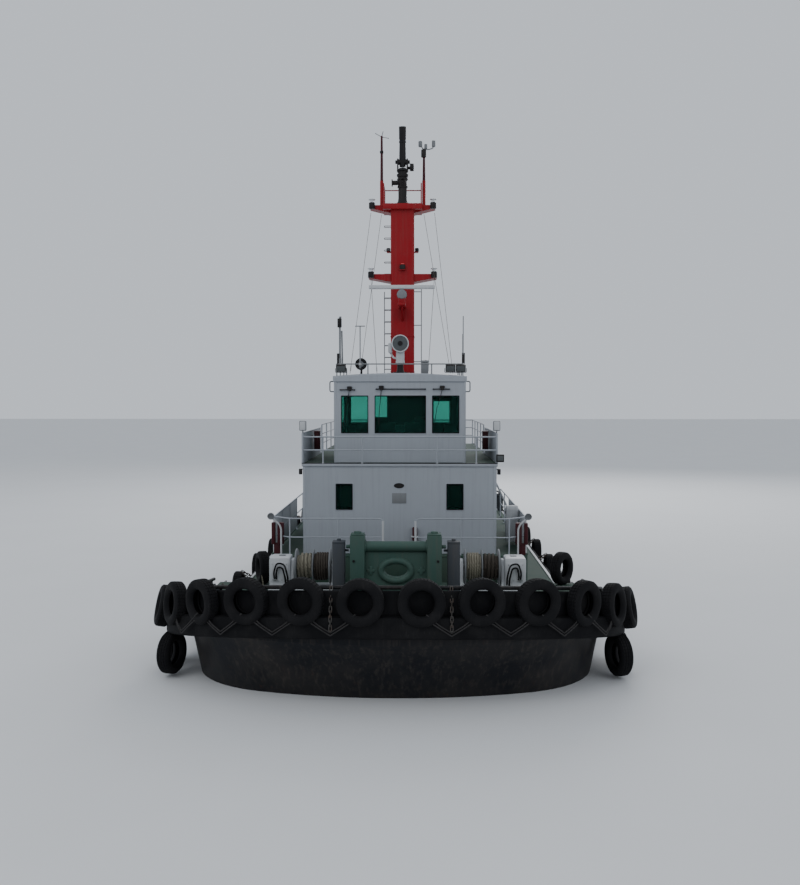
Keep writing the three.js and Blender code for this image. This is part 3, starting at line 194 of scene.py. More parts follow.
def rubber_group():
    """Old rubber: fine pitting, pale scuffs and salt."""
    group, start, end = new_group("Old Rubber", [
        ("Vector", "NodeSocketVector", None),
        ("Rubber", "NodeSocketColor", (0.02, 0.02, 0.021, 1.0)),
        ("Scuff Colour", "NodeSocketColor", (0.10, 0.095, 0.09, 1.0)),
        ("Scuffs", "NodeSocketFloat", 0.4),
    ], [("Color", "NodeSocketColor"), ("Roughness", "NodeSocketFloat"), ("Height", "NodeSocketFloat")])
    w = Wiring(group)
    place = start.outputs["Vector"]
    cloud = w.band(w.noise(place, 2.2, 5.0), 0.42, 0.70)
    scratch = w.band(w.noise(w.stretched(place, (9.0, 9.0, 1.4)), 3.0, 6.0, 0.7), 0.56, 0.70)
    pits = w.noise(place, 70.0, 3.0, 0.6)
    scuff = w.math("MULTIPLY", cloud, w.math("ADD", scratch, 0.35))
    scuff = w.math("MULTIPLY", scuff, start.outputs["Scuffs"])
    colour = w.mix(scuff, start.outputs["Rubber"], start.outputs["Scuff Colour"])
    rough = w.math("ADD", w.math("MULTIPLY", pits, 0.25), 0.55)
    height = w.math("SUBTRACT", w.math("MULTIPLY", pits, 0.5), w.math("MULTIPLY", scratch, 0.4))
    for label, value in (("Color", colour), ("Roughness", rough), ("Height", height)):
        group.links.new(value, end.inputs[label])
    return group


# Materials

FINISHES = {}

# Columns: name, colour, roughness, blotches, streaks, dirt, chips
PAINTS = (
    ("hull_black", (0.009, 0.010, 0.013), 0.40, 0.35, 0.22, 0.14, 0.10),
    ("bottom_red", (0.16, 0.040, 0.030), 0.62, 0.6, 0.30, 0.5, 0.20),
    # white_paint: the white paint of the walls, rails and doors, darkened and turned bluish as painted shade;
    # clean_white is the same white without it
    ("white_paint", (0.33, 0.355, 0.39), 0.40, 0.14, 0.10, 0.07, 0.05),
    ("clean_white", (0.50, 0.515, 0.53), 0.35, 0.12, 0.12, 0.06, 0.04),
    ("worn_cream", (0.40, 0.39, 0.32), 0.50, 0.35, 0.35, 0.30, 0.40),
    ("deck_green", (0.030, 0.062, 0.048), 0.68, 0.4, 0.10, 0.35, 0.20),
    ("gear_green", (0.048, 0.096, 0.080), 0.40, 0.25, 0.22, 0.20, 0.14),
    ("post_grey", (0.058, 0.066, 0.078), 0.45, 0.25, 0.20, 0.15, 0.10),
    ("light_grey", (0.19, 0.20, 0.21), 0.42, 0.20, 0.15, 0.10, 0.05),
    ("mast_red", (0.27, 0.004, 0.010), 0.32, 0.20, 0.14, 0.06, 0.03),
    ("maroon", (0.055, 0.010, 0.015), 0.42, 0.20, 0.15, 0.10, 0.05),
    ("dark_fitting", (0.012, 0.012, 0.014), 0.38, 0.30, 0.10, 0.15, 0.05),
    ("orange", (0.70, 0.15, 0.02), 0.45, 0.15, 0.10, 0.08, 0.00),
    ("inside_grey", (0.085, 0.095, 0.10), 0.60, 0.20, 0.05, 0.05, 0.00),
)
# Columns: name, colour, scuff colour, scuffs
RUBBERS = (
    ("belt_rubber", (0.008, 0.008, 0.009), (0.034, 0.033, 0.033), 0.75),
    ("tyre_rubber", (0.010, 0.010, 0.011), (0.036, 0.034, 0.034), 0.60),
    ("hose_rubber", (0.012, 0.012, 0.013), (0.050, 0.050, 0.050), 0.30),
)
# Columns: name, colour, roughness, stain, amount of stain
METALS = (
    ("steel", (0.42, 0.43, 0.44), 0.34, (0.16, 0.10, 0.07), 0.45),
    ("bronze", (0.55, 0.36, 0.16), 0.30, (0.14, 0.20, 0.15), 0.35),
    ("chain_steel", (0.10, 0.095, 0.09), 0.48, (0.10, 0.045, 0.02), 0.60),
)
# Columns: name, colour, darker colour for random blotches and for painted shade in the grooves between strands
ROPES = (
    ("pale_rope", (0.25, 0.235, 0.18), (0.10, 0.085, 0.06)),
    ("dark_rope", (0.060, 0.048, 0.036), (0.022, 0.017, 0.013)),
    ("lashing", (0.030, 0.028, 0.028), (0.012, 0.011, 0.011)),
)
# Columns: name, colour
LENSES = (
    ("red_lens", (0.6, 0.01, 0.01)),
    ("green_lens", (0.01, 0.35, 0.12)),
    ("clear_lens", (0.75, 0.78, 0.80)),
)


def blank_material(name):
    """A new material with its wiring, its place on the object and its shader."""
    material = bpy.data.materials.new(name)
    material.use_nodes = True
    tree = material.node_tree
    tree.nodes.clear()
    w = Wiring(tree)
    place = w.node("ShaderNodeTexCoord").outputs["Object"]
    shader = w.node("ShaderNodeBsdfPrincipled")
    w.node("ShaderNodeOutputMaterial", {"Surface": shader.outputs["BSDF"]})
    FINISHES[name] = material
    return w, place, shader


def bumped(w, shader, height, strength, distance):
    bump = w.node("ShaderNodeBump", {"Height": height}, {"Strength": strength, "Distance": distance})
    w.tree.links.new(bump.outputs["Normal"], shader.inputs["Normal"])


PAINT_SHINE = 0.15
RUBBER_SHINE = 0.06


def effect_material(name, group, colours, amounts, strength, distance, shine):
    """A material whose colour, roughness and bump come from a shared group with its own values."""
    w, place, shader = blank_material(name)
    shader.inputs["Specular IOR Level"].default_value = shine
    effect = w.node("ShaderNodeGroup", node_tree=group)
    w.tree.links.new(place, effect.inputs["Vector"])
    for label, colour in colours.items():
        effect.inputs[label].default_value = (*colour, 1.0)
    for label, value in amounts.items():
        effect.inputs[label].default_value = value
    w.tree.links.new(effect.outputs["Color"], shader.inputs["Base Color"])
    w.tree.links.new(effect.outputs["Roughness"], shader.inputs["Roughness"])
    bumped(w, shader, effect.outputs["Height"], strength, distance)


def metal_material(name, colour, rough, stain, amount):
    """Bare metal with stains that follow a broken noise."""
    w, place, shader = blank_material(name)
    mask = w.math("MULTIPLY", w.band(w.noise(place, 6.0, 6.0, 0.65), 0.45, 0.66), amount)
    fine = w.noise(place, 90.0, 2.0)
    w.tree.links.new(w.mix(mask, (*colour, 1.0), (*stain, 1.0)), shader.inputs["Base Color"])
    grain = w.math("ADD", w.math("MULTIPLY", fine, 0.15), w.math("MULTIPLY", mask, 0.4))
    w.tree.links.new(w.math("ADD", grain, rough), shader.inputs["Roughness"])
    w.tree.links.new(w.math("SUBTRACT", 1.0, mask), shader.inputs["Metallic"])
    bumped(w, shader, fine, 0.3, 0.002)


def rope_material(name, colour, dark):
    """Laid rope: the strands cross the rope as slanted waves, with painted shade in the grooves between them."""
    w, place, shader = blank_material(name)
    wave = w.node("ShaderNodeTexWave", {"Vector": place}, {"Scale": 9.0, "Distortion": 1.0, "Detail": 1.0},
                  wave_type="BANDS", bands_direction="DIAGONAL").outputs["Fac"]
    hairs = w.noise(place, 120.0, 2.0)
    cloud = w.band(w.noise(place, 3.0, 4.0), 0.35, 0.7, 0.0, 0.35)
    # Painted shade: the colour turns towards the darker colour in the wave's troughs, the grooves that the bump sinks
    # between strands
    tint = w.mix(w.math("MULTIPLY", w.math("SUBTRACT", 1.0, wave), 0.7), (*colour, 1.0), (*dark, 1.0))
    w.tree.links.new(w.mix(cloud, tint, (*dark, 1.0)), shader.inputs["Base Color"])
    shader.inputs["Roughness"].default_value = 0.9
    bumped(w, shader, w.math("ADD", wave, w.math("MULTIPLY", hairs, 0.3)), 0.6, 0.006)


def glass_material(name, colour, rough):
    """Tinted window glass with faint salt marks."""
    w, place, shader = blank_material(name)
    salt = w.band(w.noise(place, 7.0, 5.0), 0.45, 0.80, rough, rough + 0.08)
    deeper = tuple(c * 0.85 for c in colour)
    tint = w.mix(w.band(w.noise(place, 0.8, 2.0), 0.3, 0.7), (*colour, 1.0), (*deeper, 1.0))
    w.tree.links.new(tint, shader.inputs["Base Color"])
    w.tree.links.new(salt, shader.inputs["Roughness"])
    shader.inputs["Transmission Weight"].default_value = 0.975
    shader.inputs["IOR"].default_value = 1.08


def lens_material(name, colour):
    """A ribbed lamp lens."""
    w, place, shader = blank_material(name)
    ribs = w.node("ShaderNodeTexWave", {"Vector": place}, {"Scale": 30.0}, bands_direction="Z").outputs["Fac"]
    deeper = tuple(c * 0.5 for c in colour)
    tint = w.mix(w.math("MULTIPLY", ribs, 0.3), (*colour, 1.0), (*deeper, 1.0))
    w.tree.links.new(tint, shader.inputs["Base Color"])
    shader.inputs["Roughness"].default_value = 0.12
    shader.inputs["Coat Weight"].default_value = 0.6
    bumped(w, shader, ribs, 0.4, 0.003)


def build_materials(colours):
    """Makes every finish once; colours holds those that a user may change."""
    weather = weather_group()
    old_rubber = rubber_group()
    for name, colour, rough, blotches, streaks, dirt, chips in PAINTS:
        amounts = {"Blotches": blotches, "Streaks": streaks, "Dirt": dirt, "Chips": chips, "Base Roughness": rough}
        effect_material(name, weather, {"Paint": colours.get(name, colour)}, amounts, 0.25, 0.004, PAINT_SHINE)
    for name, colour, scuff, scuffs in RUBBERS:
        effect_material(name, old_rubber, {"Rubber": colour, "Scuff Colour": scuff}, {"Scuffs": scuffs}, 0.6, 0.006,
                        RUBBER_SHINE)
    for row in METALS:
        metal_material(*row)
    for row in ROPES:
        rope_material(*row)
    for row in LENSES:
        lens_material(*row)
    glass_material("window_glass", (0.22, 0.62, 0.52), 0.02)
    w, place, shader = blank_material("studio_floor")
    speck = w.band(w.noise(place, 0.25, 3.0), 0.3, 0.7, 0.0, 0.3)
    w.tree.links.new(w.mix(speck, (0.70, 0.71, 0.72, 1.0), (0.64, 0.65, 0.66, 1.0)), shader.inputs["Base Color"])
    shader.inputs["Roughness"].default_value = 0.85


# Modelling helpers

def cube_part(low, high, bevel=0.0, segments=2):
    """A block between two corners with bevelled edges."""
    low, high = Vector(low), Vector(high)
    part = bmesh.new()
    corners = bmesh.ops.create_cube(part, size=1.0)["verts"]
    bmesh.ops.scale(part, vec=high - low, verts=corners)
    bmesh.ops.translate(part, vec=(low + high) / 2, verts=corners)
    if bevel > 0:
        bevelled(part, min(bevel, min(high - low) * 0.45), segments)
    return part


def bevelled(part, offset, segments=2, angle=math.radians(30)):
    """Bevels every edge that turns by more than an angle."""
    edges = [e for e in part.edges if len(e.link_faces) == 2 and e.calc_face_angle(0.0) > angle]
    bmesh.ops.bevel(part, geom=edges, offset=offset, segments=segments, profile=0.5, affect="EDGES", material=-1,
                    offset_type="OFFSET")
    return part


def rod_part(start, end, radius, sides=12, end_radius=None, bevel=0.0):
    """A round bar, or a cone where the two radii differ."""
    start, end = Vector(start), Vector(end)
    run = end - start
    place = Matrix.Translation((start + end) / 2) @ Z_AXIS.rotation_difference(run).to_matrix().to_4x4()
    part = bmesh.new()
    bmesh.ops.create_cone(part, cap_ends=True, cap_tris=False, segments=sides, radius1=radius,
                          radius2=radius if end_radius is None else end_radius, depth=run.length, matrix=place)
    if bevel > 0:
        rims = [e for e in part.edges if len(e.link_faces) == 2 and e.calc_face_angle(0.0) > math.radians(60)]
        bmesh.ops.bevel(part, geom=rims, offset=bevel, segments=2, profile=0.5, affect="EDGES", material=-1,
                        offset_type="OFFSET")
    return part


def draped_part(rows, closed=True, capped=True, looped=False):
    """A grid laid on rows of points. closed joins each row to a ring, looped joins the last row to the first."""
    rows = [list(row) + [row[0]] if closed else list(row) for row in rows]
    if looped:
        rows.append(rows[0])
    part = bmesh.new()
    bmesh.ops.create_grid(part, x_segments=len(rows[0]) - 1, y_segments=len(rows) - 1, size=1.0)
    points = [point for row in rows for point in row]
    assert len(part.verts) == len(points)
    for vert, point in zip(part.verts, points):
        vert.co = point
    bmesh.ops.remove_doubles(part, verts=part.verts, dist=1e-5)
    if capped and not looped:
        bmesh.ops.holes_fill(part, edges=part.edges, sides=0)
    return part


def rounded_path(points, bend, steps=5):
    """The same path with each inner corner turned into a short curve."""
    points = [Vector(p) for p in points]
    if bend <= 0 or len(points) < 3:
        return points
    path = [points[0]]
    for before, corner, after in zip(points, points[1:], points[2:]):
        reach = min(bend, (before - corner).length * 0.45, (after - corner).length * 0.45)
        start = corner + (before - corner).normalized() * reach
        end = corner + (after - corner).normalized() * reach
        for i in range(steps + 1):
            t = i / steps
            path.append(start * (1 - t) ** 2 + corner * 2 * t * (1 - t) + end * t ** 2)
    path.append(points[-1])
    return path


def pipe_part(points, radius, sides=8, bend=0.0, looped=False):
    """A round tube along a path; radius is one number or one for each point."""
    path = rounded_path(points, bend)
    count = len(path)
    radii = radius if isinstance(radius, (list, tuple)) else [radius] * count
    if looped:
        runs = [(path[(i + 1) % count] - path[i - 1]).normalized() for i in range(count)]
    else:
        runs = [(path[min(i + 1, count - 1)] - path[max(i - 1, 0)]).normalized() for i in range(count)]
    across = runs[0].orthogonal().normalized()
    rows = []
    for i, (point, run) in enumerate(zip(path, runs)):
        if i > 0:
            across = runs[i - 1].rotation_difference(run) @ across
        up = run.cross(across).normalized()
        turns = [math.tau * k / sides for k in range(sides)]
        rows.append([point + (across * math.cos(a) + up * math.sin(a)) * radii[i] for a in turns])
    return draped_part(rows, looped=looped)


def turned_part(profile, centre, axis, steps=24):
    """A shape turned round an axis through centre; profile pairs are radius and distance along the axis."""
    part = bmesh.new()
    points = [part.verts.new((r, 0.0, h)) for r, h in profile]
    edges = [part.edges.new(pair) for pair in zip(points, points[1:])]
    if profile[0][0] > 1e-6:
        edges.append(part.edges.new((points[-1], points[0])))
    bmesh.ops.spin(part, geom=points + edges, cent=(0, 0, 0), axis=(0, 0, 1), dvec=(0, 0, 0), angle=math.tau,
                   steps=steps, use_merge=True, use_duplicate=False)
    bmesh.ops.remove_doubles(part, verts=part.verts, dist=1e-5)
    turn = Z_AXIS.rotation_difference(Vector(axis)).to_matrix().to_4x4()
    bmesh.ops.transform(part, matrix=Matrix.Translation(Vector(centre)) @ turn, verts=part.verts)
    return part


def plate_part(outline, depth, bevel=0.0):
    """A flat plate from an outline of points and its thickness as a vector."""
    part = bmesh.new()
    face = part.faces.new([part.verts.new(Vector(p)) for p in outline])
    made = bmesh.ops.extrude_face_region(part, geom=[face])["geom"]
    bmesh.ops.translate(part, vec=Vector(depth), verts=[g for g in made if isinstance(g, bmesh.types.BMVert)])
    if bevel > 0:
        bevelled(part, bevel, 1)
    return part


def round_rect(half_wide, half_high, radius, steps=4):
    """Points of a rectangle with round corners, anticlockwise round its middle."""
    points = []
    corners = ((1, 1, 0), (-1, 1, 1), (-1, -1, 2), (1, -1, 3))
    for across, up, quarter in corners:
        for i in range(steps + 1):
            angle = (quarter + i / steps) * math.pi / 2
            points.append((across * (half_wide - radius) + radius * math.cos(angle),
                           up * (half_high - radius) + radius * math.sin(angle)))
    return points


def frame_part(place, centre, half_wide, half_high, radius, width, depth):
    """A window frame: place turns across, up and out into a point."""
    inner = round_rect(half_wide, half_high, radius)
    outer = round_rect(half_wide + width, half_high + width, radius + width)
    slim = round_rect(half_wide + width * 0.7, half_high + width * 0.7, radius + width * 0.7)
    rows = []
    for loop, out in ((inner, 0.0), (inner, depth), (slim, depth), (outer, 0.0)):
        rows.append([place(centre[0] + u, centre[1] + v, out) for u, v in loop])
    return draped_part(rows, looped=True)


class Piece:
    """One object in the making, from parts that each have one finish."""

    def __init__(self, name):
        self.name = name
        self.mesh = bmesh.new()
        self.finishes = []

    def number_of(self, finish):
        if finish not in self.finishes:
            self.finishes.append(finish)
        return self.finishes.index(finish)

    def take(self, part, finish, accents=()):
        """Adds a part and frees it; accents are finishes with a test for the faces that wear them."""
        bmesh.ops.recalc_face_normals(part, faces=part.faces)
        part.normal_update()
        plain = self.number_of(finish)
        others = [(self.number_of(name), test) for name, test in accents]
        for face in part.faces:
            face.smooth = True
            face.material_index = next((number for number, test in others if test(face)), plain)
        for edge in part.edges:
            if len(edge.link_faces) != 2 or edge.calc_face_angle(0.0) > SHARP_ANGLE:
                edge.smooth = False
        data = bpy.data.meshes.new("part")
        part.to_mesh(data)
        part.free()
        self.mesh.from_mesh(data)
        bpy.data.meshes.remove(data)

    def stamp(self, template, matrix):
        """Adds a copy of a ready mesh, moved by a matrix."""
        data, finishes = template
        copy = data.copy()
        copy.transform(matrix)
        if matrix.determinant() < 0:
            copy.flip_normals()
        numbers = [self.number_of(name) for name in finishes]
        for polygon in copy.polygons:
            polygon.material_index = numbers[polygon.material_index]
        self.mesh.from_mesh(copy)
        bpy.data.meshes.remove(copy)

    def block(self, low, high, finish, bevel=0.0):
        low, high = [min(a, b) for a, b in zip(low, high)], [max(a, b) for a, b in zip(low, high)]
        self.take(cube_part(low, high, bevel), finish)

    def rod(self, start, end, radius, finish, sides=12, end_radius=None, bevel=0.0):
        self.take(rod_part(start, end, radius, sides, end_radius, bevel), finish)

    def pipe(self, points, radius, finish, sides=8, bend=0.0):
        self.take(pipe_part(points, radius, sides, bend), finish)

    def turned(self, profile, centre, axis, finish, steps=24):
        self.take(turned_part(profile, centre, axis, steps), finish)

    def plate(self, outline, depth, finish, bevel=0.0):
        self.take(plate_part(outline, depth, bevel), finish)

    def data(self):
        made = bpy.data.meshes.new(self.name)
        self.mesh.to_mesh(made)
        self.mesh.free()
        return made

    def template(self):
        """The parts as a mesh to stamp, with the names of its finishes."""
        return self.data(), list(self.finishes)

    def done(self, body, replaces=()):
        """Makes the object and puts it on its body."""
        data = self.data()
        for finish in self.finishes:
            data.materials.append(FINISHES[finish])
        piece = bpy.data.objects.new(self.name, data)
        bpy.context.scene.collection.objects.link(piece)
        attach(piece, body)
        if replaces:
            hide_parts(*replaces)
        return piece


def dress_node(name, finish):
    """Gives a shown node of the frame a finish."""
    node = NODES[name]
    node.data.materials.clear()
    node.data.materials.append(FINISHES[finish])


# Hull, bulwarks and fenders

# Columns: height, stem, half beam, front radius, shoulder radius, transom, stern corner radius
WATERLINES = (
    (-3.00, 10.60, 3.05, 3.6, 2.3, -5.60, 1.4),
    (-2.35, 13.00, 4.15, 5.6, 2.7, -7.60, 1.4),
    (-1.25, 14.30, 4.38, 7.2, 2.5, -10.30, 1.4),
    (-1.25, 14.35, 4.42, 7.3, 2.5, -15.20, 1.4),
    (0.00, 15.40, 4.50, 9.0, 2.4, -15.80, 1.4),
    (0.70, 15.75, 4.62, 9.0, 2.75, -16.05, 1.4),
    (1.05, 16.00, 4.70, 9.0, 3.1, -16.16, 1.4),
    (1.30, 16.20, 4.75, 9.0, 3.3, -16.20, 1.4),
)
DECK_PLAN = WATERLINES[-1][1:]
STEM_X, HALF_BEAM = DECK_PLAN[:2]
MAIN_PLAN = WATERLINES[-3][1:]
MAIN_HALF, MAIN_STERN = MAIN_PLAN[1], MAIN_PLAN[4]
BREAK_X = 9.4
SMOOTH_STEPS = (14, 22, 10)
PLAIN_STEPS = (3, 6, 4)
BULWARK_WALL = 0.08
BULWARK_SLOPE = 0.19
BULWARK_END = 10.4
BULWARK_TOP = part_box("bow_bulwark")[1].z
BULWARK_LEAST = 1.6
STERN_BULWARK_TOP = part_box("stern_bulwark")[1].z
STERN_BULWARK_START = -12.6
BELT_SLOPE = 0.2
BELT_FLARE = 0.25
BELT_END = 12.0
BACKING_DEPTH = 0.14
BELT_DEPTH = 0.30
SIDE_BELT_DEPTH = 0.22
SIDE_BELT_LEVEL = 8.4
SIDE_BELT_RISE = 0.105
STERN_BELT_START = -14.4
TYRE_BITE = 0.025
BOW_TYRE_PITCH = 1.195
BOW_TYRE_Z = 2.18
# Upper row of the bow. Columns: pitches from the stem, lean with the foot outward, how far it stands off, drop
UPPER_TYRES = ((0.5, 0.0, 0.0, 0.02), (1.5, 0.0, 0.0, 0.0), (2.5, 0.0, 0.0, 0.0), (3.5, 0.0, 0.0, 0.02),
               (4.5, 0.1, 0.03, 0.06), (5.5, 0.2, 0.09, 0.12))
# Lower row of the bow. Columns: distance from the stem, how far it is turned aft
LOWER_TYRES = ((6.05, 0.6), (7.15, 0.15))
LOWER_TYRE_Z = 1.01
SIDE_TYRE_Z = 0.43
SIDE_TYRES = (9.6, 5.5, 1.9, -1.7, -5.3, -8.9, -12.3)
STERN_TYRES = (-3.0, -1.5, 0.0, 1.5, 3.0)


def half_plan(plan, offset=0.0, steps=SMOOTH_STEPS):
    """Half of the hull's plan from the stem to the transom: a crowned front, a shoulder, a side and a corner."""
    bow, beam, front, shoulder, stern, corner = plan
    front_x = bow - front
    shoulder_y = beam - shoulder
    shoulder_x = front_x + math.sqrt((front - shoulder) ** 2 - shoulder_y ** 2)
    meet = math.asin(shoulder_y / (front - shoulder))
    arcs = ((front_x, 0.0, front, 0.0, meet, steps[0], 0),
            (shoulder_x, shoulder_y, shoulder, meet, math.pi / 2, steps[1], 1),
            (stern + corner, beam - corner, corner, math.pi / 2, math.pi, steps[2], 0))
    points = []
    for x, y, radius, start, end, count, first in arcs:
        for i in range(first, count + 1):
            angle = start + (end - start) * i / count
            points.append((x + (radius + offset) * math.cos(angle), y + (radius + offset) * math.sin(angle)))
    return points


def flared(flare):
    """The deck's plan, widened by a flare at the shoulders."""
    bow, beam, front, shoulder, stern, corner = DECK_PLAN
    return bow, beam + flare, front, shoulder + flare, stern, corner


def bow_line(end_x):
    """Lines round the bow from starboard to port, for an offset and a flare."""
    def line(offset, flare):
        half = half_plan(flared(flare), offset)[:SMOOTH_STEPS[0] + SMOOTH_STEPS[1] + 1]
        half.append((end_x, HALF_BEAM + flare + offset))
        return [(x, -y) for x, y in reversed(half[1:])] + half
    return line


def stern_line(start_x):
    """Lines round the stern from port to starboard at the main deck, for an offset."""
    def line(offset, flare):
        half = [(start_x, MAIN_HALF + offset)]
        half += [point for point in half_plan(MAIN_PLAN, offset) if point[0] < start_x - 0.01]
        return half + [(x, -y) for x, y in reversed(half)]
    return line


def side_line(side):
    """Lines along one side at the main deck, between the bow belt and the stern belt."""
    def line(offset, flare):
        places = (BELT_END, SIDE_BELT_LEVEL, 2.0, -4.0, -10.0, STERN_BELT_START)
        return [(x, side * (MAIN_HALF + offset)) for x in places]
    return line


def swept_part(profile, line_of):
    """A section of (offset, height, flare) rows carried along matching lines; heights are functions of X."""
    lines = [[(x, y, height(x)) for x, y in line_of(offset, flare)] for offset, height, flare in profile]
    return draped_part(list(zip(*lines)))


def level(z):
    return lambda x: z


def dropping(z, slope=BELT_SLOPE):
    """A height at the stem that falls on its way aft."""
    return lambda x: z - slope * (STEM_X - x)


def rising(z):
    """A height of the side belt, which rises on its way to the bow belt."""
    return lambda x: z + SIDE_BELT_RISE * max(0.0, x - SIDE_BELT_LEVEL)


def bulwark_top(x):
    return max(BULWARK_LEAST, BULWARK_TOP - BULWARK_SLOPE * (STEM_X - x))


def places_along(offset, distances):
    """Places and headings at distances along the port half of the bow belt, starting from the stem."""
    line = half_plan(flared(BELT_FLARE), offset, PLAIN_STEPS)
    places = []
    for distance in distances:
        left = distance
        for (x0, y0), (x1, y1) in zip(line, line[1:]):
            run = math.hypot(x1 - x0, y1 - y0)
            if left <= run:
                break
            left -= run
        dx, dy = (x1 - x0) / run, (y1 - y0) / run
        places.append((x0 + dx * left, y0 + dy * left, math.atan2(-dx, dy)))
    return places


def build_hull():
    """The hull with a knuckle at each waterline, two green decks and red below the water."""
    rings = []
    for z, *plan in WATERLINES:
        half = half_plan(plan)
        rings.append([(x, y, z) for x, y in half] + [(x, -y, z) for x, y in reversed(half[1:])])
    body = draped_part(rings)
    bmesh.ops.bisect_plane(body, geom=body.verts[:] + body.edges[:] + body.faces[:], dist=1e-5,
                           plane_co=(BREAK_X, 0, 0), plane_no=X_AXIS)
    above = [face for face in body.faces
             if face.calc_center_median().x < BREAK_X and face.calc_center_median().z > MAIN_DECK_Z + 0.01]
    bmesh.ops.delete(body, geom=above, context="FACES")
    bmesh.ops.delete(body, geom=[v for v in body.verts if not v.link_faces], context="VERTS")
    corners = [v for v in body.verts if abs(v.co.x - BREAK_X) < 1e-4 and abs(v.co.z - MAIN_DECK_Z) < 1e-4]
    body.edges.new(corners)
    open_edges = [edge for edge in body.edges if len(edge.link_faces) < 2]
    for axis, place in ((2, MAIN_DECK_Z), (0, BREAK_X)):
        loop = [edge for edge in open_edges if all(abs(v.co[axis] - place) < 1e-4 for v in edge.verts)]
        bmesh.ops.edgeloop_fill(body, edges=loop)
    hull = Piece("hull_plating")
    hull.take(body, "hull_black", (
        ("deck_green", lambda face: face.normal.z > 0.9),
        ("bottom_red", lambda face: face.calc_center_median().z < 0.0),
    ))
    for _, side in SIDES:
        edge = side * (MAIN_HALF - 0.05)
        hull.block((-12.5, edge - 0.04, MAIN_DECK_Z), (BREAK_X - 0.05, edge + 0.04, MAIN_DECK_Z + 0.035),
                   "clean_white", bevel=0.008)
    hull.done(ROOT, ["hull"])
    dress_node("skeg", "bottom_red")


def build_bulwarks(sizes):
    """Bow and stern bulwarks: black plating with a pale lining and brackets, and a rail on short stanchions."""
    # Columns: name, node, deck, top of the rail, line
    table = (
        ("bow_bulwark_plating", "bow_bulwark", FOREDECK_Z, bulwark_top, bow_line(BULWARK_END)),
        ("stern_bulwark_plating", "stern_bulwark", MAIN_DECK_Z, level(STERN_BULWARK_TOP),
         stern_line(STERN_BULWARK_START)),
    )
    for name, node, deck, top, line in table:
        wall = Piece(name)

        def plate_top(x):
            return top(x) - sizes.rail_gap

        for outer, inner, finish in ((0.0, -BULWARK_WALL / 2, "hull_black"),
                                     (-BULWARK_WALL / 2, -BULWARK_WALL, "post_grey")):
            wall.take(swept_part(((inner, level(deck), 0.0), (outer, level(deck), 0.0), (outer, plate_top, 0.0),
                                  (inner, plate_top, 0.0)), line), finish)
        radius = sizes.cap_radius
        path = [(x, y, top(x) - radius) for x, y in line(-BULWARK_WALL / 2, 0.0)]
        wall.pipe(path, radius, "hull_black", sides=10)
        for x, y in spaced_points(line(-BULWARK_WALL / 2, 0.0), 0.6):
            wall.rod((x, y, plate_top(x) - 0.02), (x, y, top(x) - radius), radius * 0.7, "hull_black", 8)
        add_brackets(wall, line(-BULWARK_WALL, 0.0), deck, plate_top)
        wall.done(ROOT, [node])


def spaced_points(line, pitch):
    """Points at even steps along a line of X and Y."""
    points, left = [], pitch / 2
    for (x0, y0), (x1, y1) in zip(line, line[1:]):
        run = math.hypot(x1 - x0, y1 - y0)
        while left < run:
            points.append((x0 + (x1 - x0) * left / run, y0 + (y1 - y0) * left / run))
            left += pitch
        left -= run
    return points


def add_brackets(wall, line, deck, top, pitch=1.15, reach=0.34, thick=0.014):
    """Three-cornered brackets along the inside of a bulwark."""
    left = pitch * 0.4
    for (x0, y0), (x1, y1) in zip(line, line[1:]):
        run = Vector((x1 - x0, y1 - y0, 0.0))
        while left < run.length:
            along = run.normalized()
            foot = Vector((x0, y0, deck)) + along * left
            inward = Vector((-along.y, along.x, 0.0))
            high = Vector((foot.x, foot.y, top(foot.x) - 0.02))
            outline = [foot, foot + inward * reach, foot + inward * reach + Z_AXIS * 0.06,
                       high + inward * 0.06, high]
            wall.plate(outline, along * thick, "post_grey")
            left += pitch
        left -= run.length


# Section of a tyre's casing from the crown of its tread to the bead and back inside.
# Columns: share of the wall from bore to tread, share of half the width
CASING = (
    (1.00, 0.00), (1.00, 0.40), (0.97, 0.74), (0.89, 0.89), (0.70, 0.98), (0.45, 1.00), (0.22, 0.90),
    (0.06, 0.66), (0.00, 0.42), (0.04, 0.30), (0.20, 0.46), (0.45, 0.78), (0.72, 0.76), (0.88, 0.50), (0.90, 0.00),
)
TREAD_LIFT = 0.012


def tyre_template(radius, bore, width, steps=40):
    """A worn tyre with a hollow casing and raised blocks of tread, its axle along X."""
    wall = radius - TREAD_LIFT - bore
    half = [(bore + wall * r, width / 2 * h) for r, h in CASING]
    profile = half + [(r, -h) for r, h in reversed(half[1:-1])]
    part = turned_part(profile, (0, 0, 0), X_AXIS, steps)
    tread = [face for face in part.faces
             if all(math.hypot(v.co.y, v.co.z) > bore + wall * 0.96 for v in face.verts)]
    bmesh.ops.recalc_face_normals(part, faces=part.faces)
    bmesh.ops.inset_individual(part, faces=tread, thickness=0.011, depth=TREAD_LIFT)
    tyre = Piece("tyre")
    tyre.take(part, "tyre_rubber")
    return tyre.template()


def set_tyre(piece, template, x, y, z, heading, turn=0.0, lean=0.0):
    """Hangs a tyre with its axle pointing along a heading, turned on its axle and leaning a little."""
    piece.stamp(template, Matrix.Translation((x, y, z)) @ Matrix.Rotation(heading, 4, "Z")
                @ Matrix.Rotation(lean, 4, "Y") @ Matrix.Rotation(turn, 4, "X"))


def chain_template(size):
    """One link of chain that lies along X."""
    half, bend = size * 0.5, size * 0.28
    path = [(half + bend * math.cos(a), bend * math.sin(a), 0.0) for a in (-1.2, 0.0, 1.2)]
    path = [(half * 0.6, -bend, 0.0)] + path + [(half * 0.6, bend, 0.0)]
    path += [(-x, -y, 0.0) for x, y, _ in path]
    link = Piece("link")
    link.take(pipe_part([Vector(p) for p in path], size * 0.13, 5, looped=True), "chain_steel")
    return link.template()


